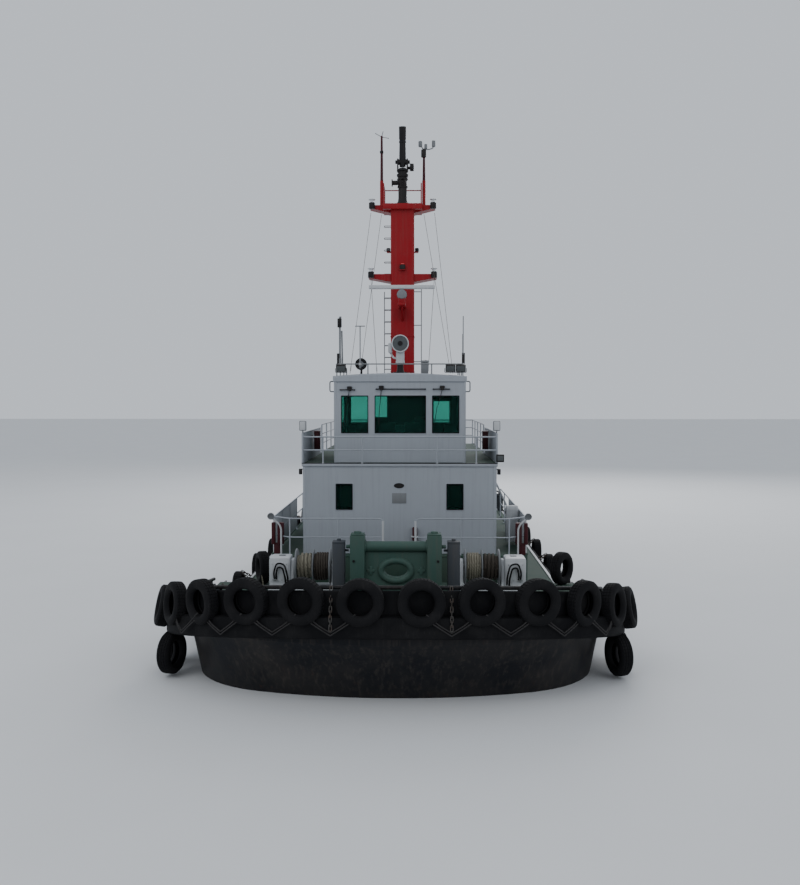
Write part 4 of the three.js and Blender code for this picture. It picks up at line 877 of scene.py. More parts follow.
def hang_chain(piece, link, size, start, end, sag=0.0):
    """A chain of links from one point to another, with a little slack."""
    start, end = Vector(start), Vector(end)
    count = max(2, round((end - start).length / (size * 1.1)))
    points = [start.lerp(end, i / count) - Z_AXIS * sag * 4 * (i / count) * (1 - i / count) for i in range(count + 1)]
    for i, (a, b) in enumerate(zip(points, points[1:])):
        turn = X_AXIS.rotation_difference(b - a).to_matrix().to_4x4()
        roll = Matrix.Rotation(math.pi / 2 * (i % 2), 4, "X")
        piece.stamp(link, Matrix.Translation((a + b) / 2) @ turn @ roll)


def build_bow_fender(sizes):
    """The bow's rubber belt and backing, and its tyres in two rows."""
    fender = Piece("bow_fender_rubber")
    belt = [(0.0, 1.42, 0), (0.24, 1.425, 1), (0.285, 1.45, 1), (0.30, 1.50, 1), (0.30, 1.80, 1), (0.285, 1.85, 1),
            (0.23, 1.885, 1), (0.0, 1.91, 0)]
    backing = [(0.0, 1.87, 0), (0.14, 1.87, 1), (0.14, 2.37, 1), (0.12, 2.40, 1), (0.0, 2.40, 0)]
    for rows in (belt, backing):
        fender.take(swept_part([(offset, dropping(z), BELT_FLARE * flare) for offset, z, flare in rows],
                               bow_line(BELT_END)), "belt_rubber")
    template = tyre_template(sizes.tyre_radius, sizes.tyre_bore, sizes.tyre_width)
    upper = places_along(BACKING_DEPTH + sizes.tyre_width / 2 - TYRE_BITE,
                         [pitches * BOW_TYRE_PITCH for pitches, *_ in UPPER_TYRES])
    lower = places_along(BELT_DEPTH - 2.6 * TYRE_BITE, [distance for distance, _ in LOWER_TYRES])
    # Columns: X, Y, height, heading, lean
    hung = [(x + off * math.cos(heading), y + off * math.sin(heading), dropping(BOW_TYRE_Z)(x) - drop, heading, lean)
            for (x, y, heading), (_, lean, off, drop) in zip(upper, UPPER_TYRES)]
    hung += [(x, y, dropping(LOWER_TYRE_Z)(x), heading + turn, 0.0)
             for (x, y, heading), (_, turn) in zip(lower, LOWER_TYRES)]
    for i, (x, y, z, heading, lean) in enumerate(hung):
        for _, side in SIDES:
            set_tyre(fender, template, x, side * y, z, side * heading, turn=0.7 * i + side,
                     lean=0.02 * math.sin(5.0 * i + side) - lean)
    fender.done(ROOT, ["bow_fender"])
    bpy.data.meshes.remove(template[0])


def build_bow_lashings(sizes):
    """Ropes from the feet of the bow tyres to points on the belt between them, and two hanging chains."""
    lashings = Piece("bow_lashings")
    link = chain_template(sizes.chain_link)
    front = BACKING_DEPTH + sizes.tyre_width - TYRE_BITE
    tyres = places_along(front, [pitches * BOW_TYRE_PITCH for pitches, *_ in UPPER_TYRES])
    ties = places_along(BELT_DEPTH + 0.01, [(i + 1.0) * BOW_TYRE_PITCH for i in range(4)])
    hooks = places_along(0.04, [BOW_TYRE_PITCH])
    for _, side in SIDES:
        for (x, y, heading), nearer, farther in zip(ties, tyres, tyres[1:]):
            flare = 0.10 * max(0.0, STEM_X - x)
            out = Vector((math.cos(heading), side * math.sin(heading), 0.0))
            low = Vector((x, side * y, dropping(1.50)(x))) + out * flare
            for tx, ty, turned in (nearer, farther):
                face = Vector((math.cos(turned), side * math.sin(turned), 0.0))
                foot = Vector((tx, side * ty, dropping(BOW_TYRE_Z - 0.30)(tx))) - face * 0.03
                toward = (low - foot).normalized()
                for shift in (0.0, 0.10):
                    begin = foot + toward * 0.12 + Z_AXIS * shift
                    lashings.pipe([begin, begin.lerp(low, 0.5) + out * 0.02, low + Z_AXIS * shift * 0.6], 0.014,
                                  "lashing", 6, bend=0.08)
        (x, y, _), (tie_x, tie_y, _) = hooks[0], ties[0]
        path = (Vector((x, side * y, BULWARK_TOP - 0.04)), Vector((tie_x, side * tie_y, 1.92)),
                Vector((tie_x + 0.01, side * tie_y, 1.66)))
        for upper, lower in zip(path, path[1:]):
            hang_chain(lashings, link, sizes.chain_link, upper, lower)
    lashings.done(ROOT)
    bpy.data.meshes.remove(link[0])


def build_side_fenders(sizes):
    """Belts and tyres along both sides and round the stern."""
    section = [(-0.12, 0.25), (0.0, 0.25), (0.19, 0.29), (0.22, 0.34), (0.22, 0.51), (0.19, 0.56), (0.0, 0.60),
               (-0.12, 0.60)]
    profile = [(offset, rising(z), 0.0) for offset, z in section]
    template = tyre_template(sizes.tyre_radius, sizes.tyre_bore, sizes.tyre_width, 32)
    link = chain_template(sizes.chain_link)
    outset = SIDE_BELT_DEPTH + sizes.tyre_width / 2 - TYRE_BITE
    # Columns: piece, node, line of the belt, tyres as X, Y and heading
    table = [(f"{name}_fender_rubber", f"{name}_fender", side_line(side),
              [(x, side * (MAIN_HALF + outset), side * math.pi / 2) for x in SIDE_TYRES]) for name, side in SIDES]
    table.append(("stern_fender_rubber", "stern_fender", stern_line(STERN_BELT_START),
                  [(MAIN_STERN - outset, y, math.pi) for y in STERN_TYRES]))
    for name, node, line, tyres in table:
        fender = Piece(name)
        fender.take(swept_part(profile, line), "belt_rubber")
        for i, (x, y, heading) in enumerate(tyres):
            height = rising(SIDE_TYRE_Z)(x)
            set_tyre(fender, template, x, y, height, heading, turn=0.9 * i)
            out = Vector((math.cos(heading), math.sin(heading), 0.0))
            across = Vector((-out.y, out.x, 0.0))
            deck = FOREDECK_Z if x > BREAK_X else MAIN_DECK_Z
            for way in (-1, 1):
                top = Vector((x, y, deck + 0.01)) - out * (outset + 0.02) + across * 0.22 * way
                crown = Vector((x, y, height + sizes.tyre_radius - 0.01)) - out * 0.08 + across * 0.10 * way
                hang_chain(fender, link, sizes.chain_link, top, crown)
        fender.done(ROOT, [node])
    bpy.data.meshes.remove(template[0])
    bpy.data.meshes.remove(link[0])


# Foredeck

def add_bolts(piece, places, axis, radius, height, finish, sides=6):
    """Bolt heads that stand out along an axis."""
    for place in places:
        base = Vector(place)
        piece.rod(base - Vector(axis) * height, base + Vector(axis) * height, radius, finish, sides)


def oval_ring_part(centre, half_wide, half_high, radius, sides=12, steps=40):
    """A round bar bent to an oval that lies across the boat."""
    path = []
    for i in range(steps):
        angle = math.tau * i / steps
        path.append(Vector(centre) + Vector((0.0, half_wide * math.cos(angle), half_high * math.sin(angle))))
    return pipe_part(path, radius, sides, looped=True)


def build_bow_bitt(sizes):
    """The green towing bitt: two square posts, a round beam and a plate round an oval fairlead."""
    x, half, top, post = 12.10, 1.09, 2.98, 0.35
    beam_z, plate_top, eye_z = 2.66, 2.56, 2.09
    bitt = Piece("bow_bitt_steelwork")
    for _, side in SIDES:
        near, far = side * (half - post), side * half
        bitt.block((x - 0.19, near, FOREDECK_Z), (x + 0.19, far, top - 0.03), "gear_green", bevel=0.03)
        bitt.block((x - 0.175, near + side * 0.015, top - 0.035), (x + 0.175, far - side * 0.015, top), "gear_green",
                   bevel=0.012)
        bitt.block((x - 0.24, near - side * 0.05, FOREDECK_Z), (x + 0.24, far + side * 0.05, FOREDECK_Z + 0.05), "gear_green",
                   bevel=0.012)
        bitt.rod((x, (near + far) / 2, top - 0.04), (x, (near + far) / 2, top + 0.045), 0.09, "gear_green", 20,
                 bevel=0.008)
        bitt.rod((x, side * half - side * 0.005, beam_z), (x, side * (half + 0.10), beam_z), 0.045, "gear_green",
                 16, bevel=0.01)
        bitt.rod((x + 0.185, side * 1.0, beam_z - 0.32), (x + 0.215, side * 1.0, beam_z - 0.32), 0.03, "dark_fitting")
    bitt.take(turned_part([(0.11, -0.80), (0.13, -0.80), (0.13, 0.80), (0.11, 0.80)], (x, 0, beam_z), Y_AXIS, 32),
              "gear_green")
    for y in (-0.735, 0.735):
        bitt.turned([(0.125, -0.02), (0.165, -0.02), (0.165, 0.02), (0.125, 0.02)], (x, y, beam_z), Y_AXIS,
                    "gear_green", 32)
    bitt.take(fairlead_plate(x, eye_z, plate_top, 0.76), "gear_green")
    bitt.take(oval_ring_part((x + 0.03, 0, eye_z), 0.355, 0.24, 0.085), "gear_green")
    bitt.take(oval_ring_part((x - 0.05, 0, eye_z), 0.34, 0.225, 0.075), "gear_green")
    for y in (-0.52, 0.52):
        bitt.plate([(x - 0.03, y - 0.012, FOREDECK_Z), (x - 0.55, y - 0.012, FOREDECK_Z), (x - 0.30, y - 0.012, FOREDECK_Z + 0.7),
                    (x - 0.03, y - 0.012, FOREDECK_Z + 1.1)], (0, 0.024, 0), "gear_green")
    for _, side in SIDES:
        across = side * 0.60
        bitt.block((x + 0.038, across - 0.09, eye_z - 0.035), (x + 0.058, across + 0.09, eye_z + 0.035),
                   "gear_green", bevel=0.008)
        bitt.block((x + 0.038, across - 0.035, eye_z - 0.10), (x + 0.060, across + 0.035, eye_z + 0.10),
                   "gear_green", bevel=0.008)
    bitt.done(ROOT, ["bow_bitt"])


def fairlead_plate(x, eye_z, top, half):
    """The plate between the posts with its oval hole, seen from ahead."""
    steps = 48
    rows = []
    for depth, share in ((-0.035, 1.0), (0.035, 1.0), (0.035, 0.0), (-0.035, 0.0)):
        ring = []
        for i in range(steps):
            angle = math.tau * i / steps
            eye = Vector((0.33 * math.cos(angle), 0.215 * math.sin(angle)))
            reach = min(half / max(abs(math.cos(angle)), 1e-6),
                        (top - eye_z if math.sin(angle) > 0 else eye_z - FOREDECK_Z) / max(abs(math.sin(angle)), 1e-6))
            edge = Vector((reach * math.cos(angle), reach * math.sin(angle)))
            point = eye.lerp(edge, share)
            ring.append((x + depth, point.x, eye_z + point.y))
        rows.append(ring)
    return draped_part(rows, looped=True)


def build_bow_posts():
    """Grey square posts either side of the bitt, each with a cap, a foot and a stub on top."""
    for name, side in SIDES:
        low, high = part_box(f"{name}_bow_post")
        middle = (low + high) / 2
        post = Piece(f"{name}_bow_post_steel")
        post.block(low, (high.x, high.y, high.z - 0.06), "post_grey", bevel=0.025)
        post.block((low.x - 0.0, low.y, high.z - 0.08), (high.x, high.y, high.z - 0.02), "post_grey", bevel=0.01)
        post.rod((middle.x, middle.y, high.z - 0.03), (middle.x, middle.y, high.z + 0.03), 0.05, "post_grey", 16)
        post.block((low.x - 0.05, low.y - 0.05, FOREDECK_Z), (high.x + 0.05, high.y + 0.05, FOREDECK_Z + 0.03), "post_grey",
                   bevel=0.008)
        post.rod((middle.x, middle.y - side * 0.15, high.z - 0.25), (middle.x, middle.y - side * 0.24, high.z - 0.25),
                 0.03, "post_grey", 12, bevel=0.006)
        post.done(ROOT, [f"{name}_bow_post"])


def rope_turns_part(x, z, radius, start, end, rope, sides=8, steps=18):
    """Turns of rope side by side on a drum whose axle runs across the boat."""
    count = max(1, int(abs(end - start) / (rope * 2.0)))
    path = []
    for i in range(count * steps + 1):
        angle = math.tau * i / steps
        path.append(Vector((x + radius * math.cos(angle), start + (end - start) * i / (count * steps),
                            z + radius * math.sin(angle))))
    return pipe_part(path, rope, sides)


def build_winches(sizes):
    """Two deck winches: frames with gearcases, motors and hoses, and drums wound with rope."""
    x, z, inner, outer = 10.40, 1.90, 1.70, 2.60
    for name, side in SIDES:
        drum = Piece(f"{name}_winch_drum_wound")
        for near, far in ((inner, inner + 0.04), (2.13, 2.16), (outer - 0.04, outer)):
            radius = 0.45 if near != 2.13 else 0.43
            drum.turned([(0.06, near), (radius - 0.012, near), (radius, near + 0.008), (radius, far - 0.008),
                         (radius - 0.012, far), (0.06, far)], (x, 0, z), Y_AXIS * side, "light_grey", 36)
        drum.turned([(0.0, inner - 0.0295), (0.07, inner - 0.0295), (0.07, outer + 0.0295), (0.0, outer + 0.0295)],
                    (x, 0, z), Y_AXIS * side, "steel", 20)
        # Columns: near, far, radius of the lay, rope radius, finish
        finishes = ("dark_rope", "pale_rope") if side < 0 else ("pale_rope", "dark_rope")
        lays = ((inner + 0.05, 2.12, 0.335, 0.030, finishes[0]), (2.17, outer - 0.05, 0.305, 0.040, finishes[1]))
        for near, far, lay, rope, finish in lays:
            drum.turned([(0.05, near), (lay - 0.02, near), (lay - 0.02, far), (0.05, far)], (x, 0, z),
                        Y_AXIS * side, finish, 24)
            drum.take(rope_turns_part(x, z, lay, side * (near + rope), side * (far - rope), rope, 7), finish)
        drum.done(f"{name}_winch_drum", [f"{name}_winch_drum"])
        build_winch_frame(name, side, x, z, inner, outer)


def build_winch_frame(name, side, x, z, inner, outer):
    """A winch's bed, cheeks, gearcase, motor, hoses and a bent steel pipe by the inner cheek."""
    frame_piece = Piece(f"{name}_winch_frame_steel")
    case = 3.25

    def span(near, far, x0, x1, z0, z1, finish, bevel=0.02):
        frame_piece.block((x0, side * near, z0), (x1, side * far, z1), finish, bevel)

    span(inner - 0.11, case, x - 0.48, x + 0.48, FOREDECK_Z, FOREDECK_Z + 0.09, "clean_white", 0.015)
    for near in (inner - 0.11, outer + 0.03):
        outline = [(x - 0.30, FOREDECK_Z + 0.08), (x + 0.30, FOREDECK_Z + 0.08), (x + 0.22, z + 0.05), (x + 0.12, z + 0.20),
                   (x - 0.12, z + 0.20), (x - 0.22, z + 0.05)]
        frame_piece.plate([(a, side * near, b) for a, b in outline], (0, side * 0.08, 0), "clean_white", 0.01)
        frame_piece.turned([(0.0, near - 0.0), (0.13, near), (0.13, near + 0.08), (0.0, near + 0.08)], (x, 0, z),
                           Y_AXIS * side, "clean_white", 24)
    span(outer + 0.11, case, x - 0.33, x + 0.33, FOREDECK_Z + 0.08, z + 0.27, "clean_white", 0.06)
    span(outer + 0.16, case - 0.06, x + 0.32, x + 0.345, FOREDECK_Z + 0.25, z + 0.15, "clean_white", 0.02)
    places = [(x + 0.345, side * (outer + 0.20 + 0.12 * i), h) for i in range(4) for h in (FOREDECK_Z + 0.30, z + 0.10)]
    add_bolts(frame_piece, places, X_AXIS, 0.014, 0.008, "steel")
    frame_piece.rod((x, side * (outer + 0.35), z + 0.25), (x, side * (outer + 0.35), z + 0.29), 0.09, "light_grey",
                    20, bevel=0.01)
    # Columns: hose start, bend points, end; each a distance out, a forward step and a height
    hoses = (
        ((0.16, 0.36, 1.50), (0.16, 0.46, 1.72), (0.24, 0.46, 2.02), (0.44, 0.42, 2.05), (0.52, 0.42, 1.80),
         (0.50, 0.36, 1.62)),
        ((0.22, 0.36, 1.45), (0.22, 0.45, 1.66), (0.29, 0.45, 1.93), (0.42, 0.42, 1.94), (0.46, 0.40, 1.76),
         (0.45, 0.36, 1.60)),
    )
    for hose in hoses:
        frame_piece.pipe([(x + forward, side * (outer + out), height) for out, forward, height in hose], 0.022,
                         "hose_rubber", 8, bend=0.10)
    for out in (0.16, 0.22, 0.45, 0.50):
        height = 1.48 if out < 0.3 else 1.61
        frame_piece.rod((x + 0.33, side * (outer + out), height), (x + 0.385, side * (outer + out), height), 0.03,
                        "steel", 12)
    frame_piece.turned([(0.0, -0.30), (0.10, -0.30), (0.115, -0.27), (0.115, 0.0), (0.14, 0.0), (0.14, 0.04),
                        (0.0, 0.04)], (x - 0.35, side * (outer + 0.36), z - 0.10), (-1, 0, 0), "light_grey", 20)
    frame_piece.pipe([(x - 0.20, side * (inner - 0.07), z + 0.10), (x - 0.10, side * (inner - 0.14), z + 0.35),
                      (x - 0.10, side * (inner - 0.14), z + 0.42)], 0.016, "steel", 8, bend=0.05)
    frame_piece.done(ROOT, [f"{name}_winch_frame"])


def build_foredeck_gear(sizes):
    """Two spare tyres stood near the break of the foredeck, one with a coil of rope over it."""
    template = tyre_template(0.43, 0.225, 0.28)
    # Columns: side, Y, turn of the axle from athwartships
    table = (("port", 4.30, -0.66), ("starboard", -3.58, 0.35))
    for name, y, turn in table:
        spare = Piece(f"{name}_spare_tyre_rubber")
        x, z = 9.6, FOREDECK_Z + 0.43
        spare.stamp(template, Matrix.Translation((x, y, z)) @ Matrix.Rotation(math.pi / 2 + turn, 4, "Z"))
        path = [(x + 0.34, y + 0.06, FOREDECK_Z + 0.02), (x + 0.40, y + 0.02, FOREDECK_Z + 0.40),
                (x + 0.20, y + 0.05, FOREDECK_Z + 0.80), (x, y + 0.14, FOREDECK_Z + 0.72)]
        if name == "starboard":
            spare.pipe(path, 0.018, "pale_rope", 8, bend=0.15)
        spare.done(ROOT, [f"{name}_spare_tyre"])
    bpy.data.meshes.remove(template[0])


# Trunk, deckhouse and wheelhouse

def soft_part(name, soft, segments=2):
    """A merged copy of a node's mesh with its sharp edges bevelled."""
    part = bmesh.new()
    part.from_mesh(NODES[name].data)
    bmesh.ops.transform(part, matrix=NODES[name].matrix_world, verts=part.verts)
    bmesh.ops.remove_doubles(part, verts=part.verts, dist=1e-4)
    bmesh.ops.dissolve_limit(part, angle_limit=math.radians(1.5), verts=part.verts, edges=part.edges)
    walls = [face for face in part.faces if len(face.verts) > 4]
    bmesh.ops.triangulate(part, faces=walls, quad_method="BEAUTY", ngon_method="BEAUTY")
    return bevelled(part, soft, segments)


def faces_up(face):
    return face.normal.z > 0.9


def on_front(x):
    """Turns across, up and out into a point on a wall that faces ahead."""
    return lambda across, up, out: (x + out, across, up)


def on_side(y, side):
    """Turns along, up and out into a point on a side wall."""
    return lambda along, up, out: (along, y + side * out, up)


def on_back(x):
    return lambda across, up, out: (x - out, across, up)


def build_trunk():
    """The raised deck, its coaming and the boxes, lamps and lockers on it."""
    trunk = Piece("trunk_plating")
    trunk.take(soft_part("trunk", 0.03), "deck_green")
    edge = TRUNK_HALF - 0.02
    trunk.pipe([(-8.4, edge, TRUNK_Z), (TRUNK_FRONT - 0.5, edge, TRUNK_Z), (TRUNK_FRONT - 0.02, edge - 0.5, TRUNK_Z),
                (TRUNK_FRONT - 0.02, 0.5 - edge, TRUNK_Z), (TRUNK_FRONT - 0.5, -edge, TRUNK_Z),
                (-8.4, -edge, TRUNK_Z)], 0.03, "deck_green", 8)
    for i in range(7):
        y = -2.7 + 0.9 * i
        trunk.plate([(TRUNK_FRONT - 0.01, y, MAIN_DECK_Z), (TRUNK_FRONT + 0.16, y, MAIN_DECK_Z),
                     (TRUNK_FRONT - 0.01, y, MAIN_DECK_Z + 0.75)], (0, 0.012, 0), "deck_green")
    trunk.done(ROOT, ["trunk"])
    boxes = Piece("trunk_fittings")
    for _, side in SIDES:
        for near, far in ((3.24, 3.41), (3.48, 3.58)):
            boxes.block((7.88, side * near, 2.11), (8.06, side * far, 2.72), "maroon", bevel=0.02)
        boxes.block((7.93, side * 3.30, TRUNK_Z), (8.0, side * 3.52, 2.15), "maroon", bevel=0.006)
        boxes.pipe([(8.10, side * 3.30, TRUNK_Z), (8.10, side * 3.30, 2.64), (8.15, side * 3.54, 2.86)], 0.025,
                   "clean_white", 8, bend=0.15)
        boxes.turned([(0.0, -0.06), (0.05, -0.06), (0.085, -0.02), (0.10, 0.05), (0.09, 0.055), (0.075, 0.03),
                      (0.0, 0.02)], (8.17, side * 3.57, 2.93), (0.95, 0.0, -0.30), "light_grey", 28)
    boxes.block((5.85, 3.13, TRUNK_Z + 0.10), (6.15, 3.50, 2.86), "clean_white", bevel=0.03)
    boxes.turned([(0.0, -0.185), (0.13, -0.185), (0.15, -0.165), (0.15, 0.165), (0.13, 0.185), (0.0, 0.185)],
                 (6.0, 3.315, 2.85), Y_AXIS, "clean_white", 28)
    boxes.block((HOUSE_FRONT + 0.001, 0.36, 2.20), (HOUSE_FRONT + 0.16, 0.50, 2.58), "maroon", bevel=0.03)
    boxes.block((HOUSE_FRONT + 0.001, 0.33, 2.30), (HOUSE_FRONT + 0.17, 0.53, 2.335), "clean_white", bevel=0.008)
    for x in (4.5, 5.0):
        boxes.pipe([(x, 2.80, 3.70), (x, 2.93, 3.59), (x, 3.46, 2.44), (x, 3.49, TRUNK_Z)], 0.022, "clean_white", 8,
                   bend=0.08)
    boxes.done(ROOT)


def add_floodlight(piece, centre, half, lean=-0.35):
    """A square floodlight on a bracket, facing ahead and a little down."""
    turn = Matrix.Translation(centre) @ Matrix.Rotation(-lean, 4, "Y")
    lamp = Piece("floodlight")
    lamp.block((-0.05, -half, -half * 0.72), (0.05, half, half * 0.72), "dark_fitting", bevel=0.015)
    lamp.block((0.045, -half * 0.84, -half * 0.56), (0.058, half * 0.84, half * 0.56), "inside_grey", bevel=0.005)
    lamp.block((-0.08, -half * 0.6, -half * 0.5), (-0.04, half * 0.6, half * 0.5), "dark_fitting", bevel=0.01)
    lamp.pipe([(0.0, -half * 1.15, 0.0), (0.0, -half * 1.15, -half * 0.9), (0.0, half * 1.15, -half * 0.9),
               (0.0, half * 1.15, 0.0)], 0.010, "dark_fitting", 6, bend=0.03)
    data, finishes = lamp.template()
    piece.stamp((data, finishes), turn)
    bpy.data.meshes.remove(data)


def add_rail(piece, points, deck, height, radius, finish="clean_white", bars=(0.5,), foot=0.035):
    """A guard rail: a top bar that turns down at both ends, lower bars and posts with feet."""
    tops = [Vector((x, y, deck + height)) for x, y in points]
    first, last = tops[0].copy(), tops[-1].copy()
    first.z = last.z = deck
    piece.pipe([first] + tops + [last], radius, finish, 8, bend=0.14)
    for share in bars:
        piece.pipe([Vector((x, y, deck + height * share)) for x, y in points], radius * 0.85, finish, 8, bend=0.10)
    for x, y in points:
        piece.rod((x, y, deck), (x, y, deck + height - radius * 0.5), radius * 0.95, finish, 8)
        piece.rod((x, y, deck), (x, y, deck + 0.012), foot + radius, finish, 10)


def build_deck_rails(sizes):
    """Guard rails round the front of the trunk, each with a solid panel along the side."""
    edge, front, height = TRUNK_HALF - 0.06, TRUNK_FRONT - 0.06, 1.04
    corner, back = 7.76, 2.6
    run = ((front, 0.45), (front, 1.7), (front, edge - 0.5), (corner, edge), (6.2, edge), (4.4, edge),
           (back, edge), (0.8, edge), (-1.0, edge))
    for name, side in SIDES:
        rail = Piece(f"{name}_deck_rail_pipes")
        add_rail(rail, [(x, side * y) for x, y in run], TRUNK_Z, height, sizes.rail_radius, "white_paint")
        for x, y in (run[0], run[3]):
            rail.rod((x, side * y, TRUNK_Z), (x, side * y, TRUNK_Z + height - 0.06), 0.034, "clean_white", 12)
        rail.block((back, side * (edge - 0.008), TRUNK_Z + 0.07), (corner, side * (edge + 0.008),
                                                                  TRUNK_Z + height - 0.02),
                   "clean_white", bevel=0.004)
        rail.done(ROOT, [f"{name}_deck_rail"])


def add_window(piece, place, centre, half_wide, half_high, radius, width):
    """A window's raised rim and the dark rubber seal inside it."""
    piece.take(frame_part(place, centre, half_wide - 0.004, half_high - 0.004, radius, width, 0.012), "white_paint")
    piece.take(frame_part(place, centre, half_wide - 0.030, half_high - 0.030, radius, 0.030, 0.006), "hose_rubber")


def build_deckhouse(sizes):
    """The deckhouse walls with windows, storm rails and rounded corners."""
    house = Piece("deckhouse_walls")
    house.take(soft_part("deckhouse", 0.006, 1), "white_paint")
    low, high, half = 3.05, 3.80, 0.245
    centre_z, half_high = (low + high) / 2, (high - low) / 2
    walls = [(on_front(HOUSE_FRONT), y) for y in (-1.558, 1.555)]
    walls += [(on_side(side * HOUSE_HALF, side), x) for _, side in SIDES for x in (6.3, 4.8)]
    for place, centre in walls:
        add_window(house, place, (centre, centre_z), half, half_high, 0.02, sizes.frame_width)
    for _, side in SIDES:
        for x, y in ((HOUSE_FRONT, HOUSE_HALF), (HOUSE_LOW.x, HOUSE_HALF)):
            inset = 0.045
            corner = (x - math.copysign(inset, x), side * (y - inset))
            house.rod((*corner, TRUNK_Z), (*corner, HOUSE_HIGH.z), 0.06, "white_paint", 24)
        house.pipe([(7.2, side * (HOUSE_HALF + 0.07), 3.0), (5.6, side * (HOUSE_HALF + 0.07), 3.0)], 0.018,
                   "white_paint", 8)
        for x in (7.1, 6.4, 5.7):
            house.rod((x, side * HOUSE_HALF, 3.0), (x, side * (HOUSE_HALF + 0.07), 3.0), 0.014, "white_paint", 8)
        lamp = Vector((HOUSE_FRONT - 0.05, side * 2.79, 4.12))
        house.rod(lamp - Y_AXIS * side * 0.10 + Z_AXIS * 0.08, lamp + Z_AXIS * 0.08, 0.014, "dark_fitting", 10)
        house.rod(lamp - Z_AXIS * 0.07, lamp + Z_AXIS * 0.09, 0.05, "dark_fitting", 20, bevel=0.012)
    oval = [(HOUSE_FRONT, -0.015 + 0.145 * math.cos(a), 3.74 + 0.072 * math.sin(a))
            for a in (i * math.tau / 24 for i in range(24))]
    house.plate(oval, (0.012, 0, 0), "dark_fitting", 0.003)
    house.block((HOUSE_FRONT, -0.21, 3.24), (HOUSE_FRONT + 0.008, 0.19, 3.53), "light_grey", bevel=0.003)
    house.done(ROOT, ["deckhouse"])
    for name in ("deckhouse_front_glass", "deckhouse_port_glass", "deckhouse_starboard_glass"):
        dress_node(name, "window_glass")


def build_bridge_deck(sizes):
    """The bridge deck with dark strips along its edges that are painted shadow, the wings' side panels, the bars ahead
    and the guard rail aft.
    """
    deck = Piece("bridge_deck_plating")
    deck.take(soft_part("bridge_deck", 0.012), "white_paint", (("deck_green", faces_up),))
    low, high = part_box("bridge_deck")
    # Painted shadow: dark strips along the top of the deck's front and side edges stand in for the shade line at the
    # deck's edge
    edge = high.z - 0.012
    deck.block((high.x - 0.02, low.y + 0.01, edge), (high.x + 0.006, high.y - 0.01, edge + 0.026), "dark_fitting",
               bevel=0.004)
    for _, side in SIDES:
        deck.block((low.x + 0.01, side * (high.y - 0.02), edge), (high.x - 0.01, side * (high.y + 0.006),
                                                                  edge + 0.026), "dark_fitting", bevel=0.004)
    deck.done(ROOT, ["bridge_deck"])
    front, outer, top, back = high.x, high.y, 5.24, 2.8
    radius = sizes.rail_radius
    for name, side in SIDES:
        wing = Piece(f"{name}_wing_bulwark_plating")
        inside = side * (outer - 0.045)
        wing.block((back, side * outer, BRIDGE_Z), (front, inside, top - 0.03), "white_paint", bevel=0.006)
        wing.pipe([(front - 0.03, side * (outer - 0.025), BRIDGE_Z), (front - 0.03, side * (outer - 0.025), top - 0.026),
                   (back + 0.03, side * (outer - 0.025), top - 0.026)], 0.026, "white_paint", 10, bend=0.10)
        wing.block((5.26, side * 2.47, 4.60), (5.54, side * 2.64, 5.19), "maroon", bevel=0.02)
        wing.block((5.24, side * 2.46, 5.17), (5.56, side * 2.65, 5.20), "maroon", bevel=0.008)
        wing.pipe([(front - 0.07, side * 2.72, top - 0.04), (front - 0.07, side * 2.72, 5.40)], 0.018, "light_grey", 8)
        wing.block((front - 0.12, side * 2.62, 5.28), (front - 0.03, side * 2.82, 5.56), "light_grey", bevel=0.025)
        wing.block((front - 0.035, side * 2.64, 5.30), (front - 0.022, side * 2.80, 5.54), "clean_white", bevel=0.005)
        if side > 0:
            for bar in (4.74, 5.11):
                wing.rod((front - 0.025, outer - 0.05, bar), (front - 0.025, 0.05 - outer, bar), radius, "white_paint",
                         12)
            for y in (-2.15, -1.05, 1.05, 2.15):
                wing.rod((front - 0.025, y, BRIDGE_Z), (front - 0.025, y, 5.11), radius * 0.95, "white_paint", 10)
                wing.rod((front - 0.025, y, BRIDGE_Z), (front - 0.025, y, BRIDGE_Z + 0.014), radius * 2.0,
                         "clean_white", 12)
            wing.block((front, outer - 0.05, 4.41), (front + 0.10, outer + 0.17, 4.63), "dark_fitting", bevel=0.015)
            wing.block((front + 0.09, outer - 0.02, 4.45), (front + 0.108, outer + 0.14, 4.59), "inside_grey",
                       bevel=0.006)
        wing.done(ROOT, [f"{name}_wing_bulwark"])
    rail = Piece("bridge_rail_pipes")
    posts = [2.6, 0.9, -0.85, -2.6, -4.4]
    run = [(x, 2.69) for x in posts] + [(-4.4, 0.9), (-4.4, -0.9)] + [(x, -2.69) for x in reversed(posts)]
    add_rail(rail, run, BRIDGE_Z, 0.95, radius, "white_paint", bars=(0.35, 0.68))
    rail.done(ROOT, ["bridge_rail"])


PANE_LOW = 5.195
PANE_HIGH = 6.276
FRONT_PANES = ((-1.670, -0.885), (-0.718, 0.748), (0.907, 1.690))
SIDE_PANES = ((6.3, 7.2), (5.15, 6.1))
# Columns: starboard edge, port edge, foot, head
REAR_PANES = ((-1.70, -0.47, 5.38, PANE_HIGH), (0.99, 1.56, 5.38, 6.125))


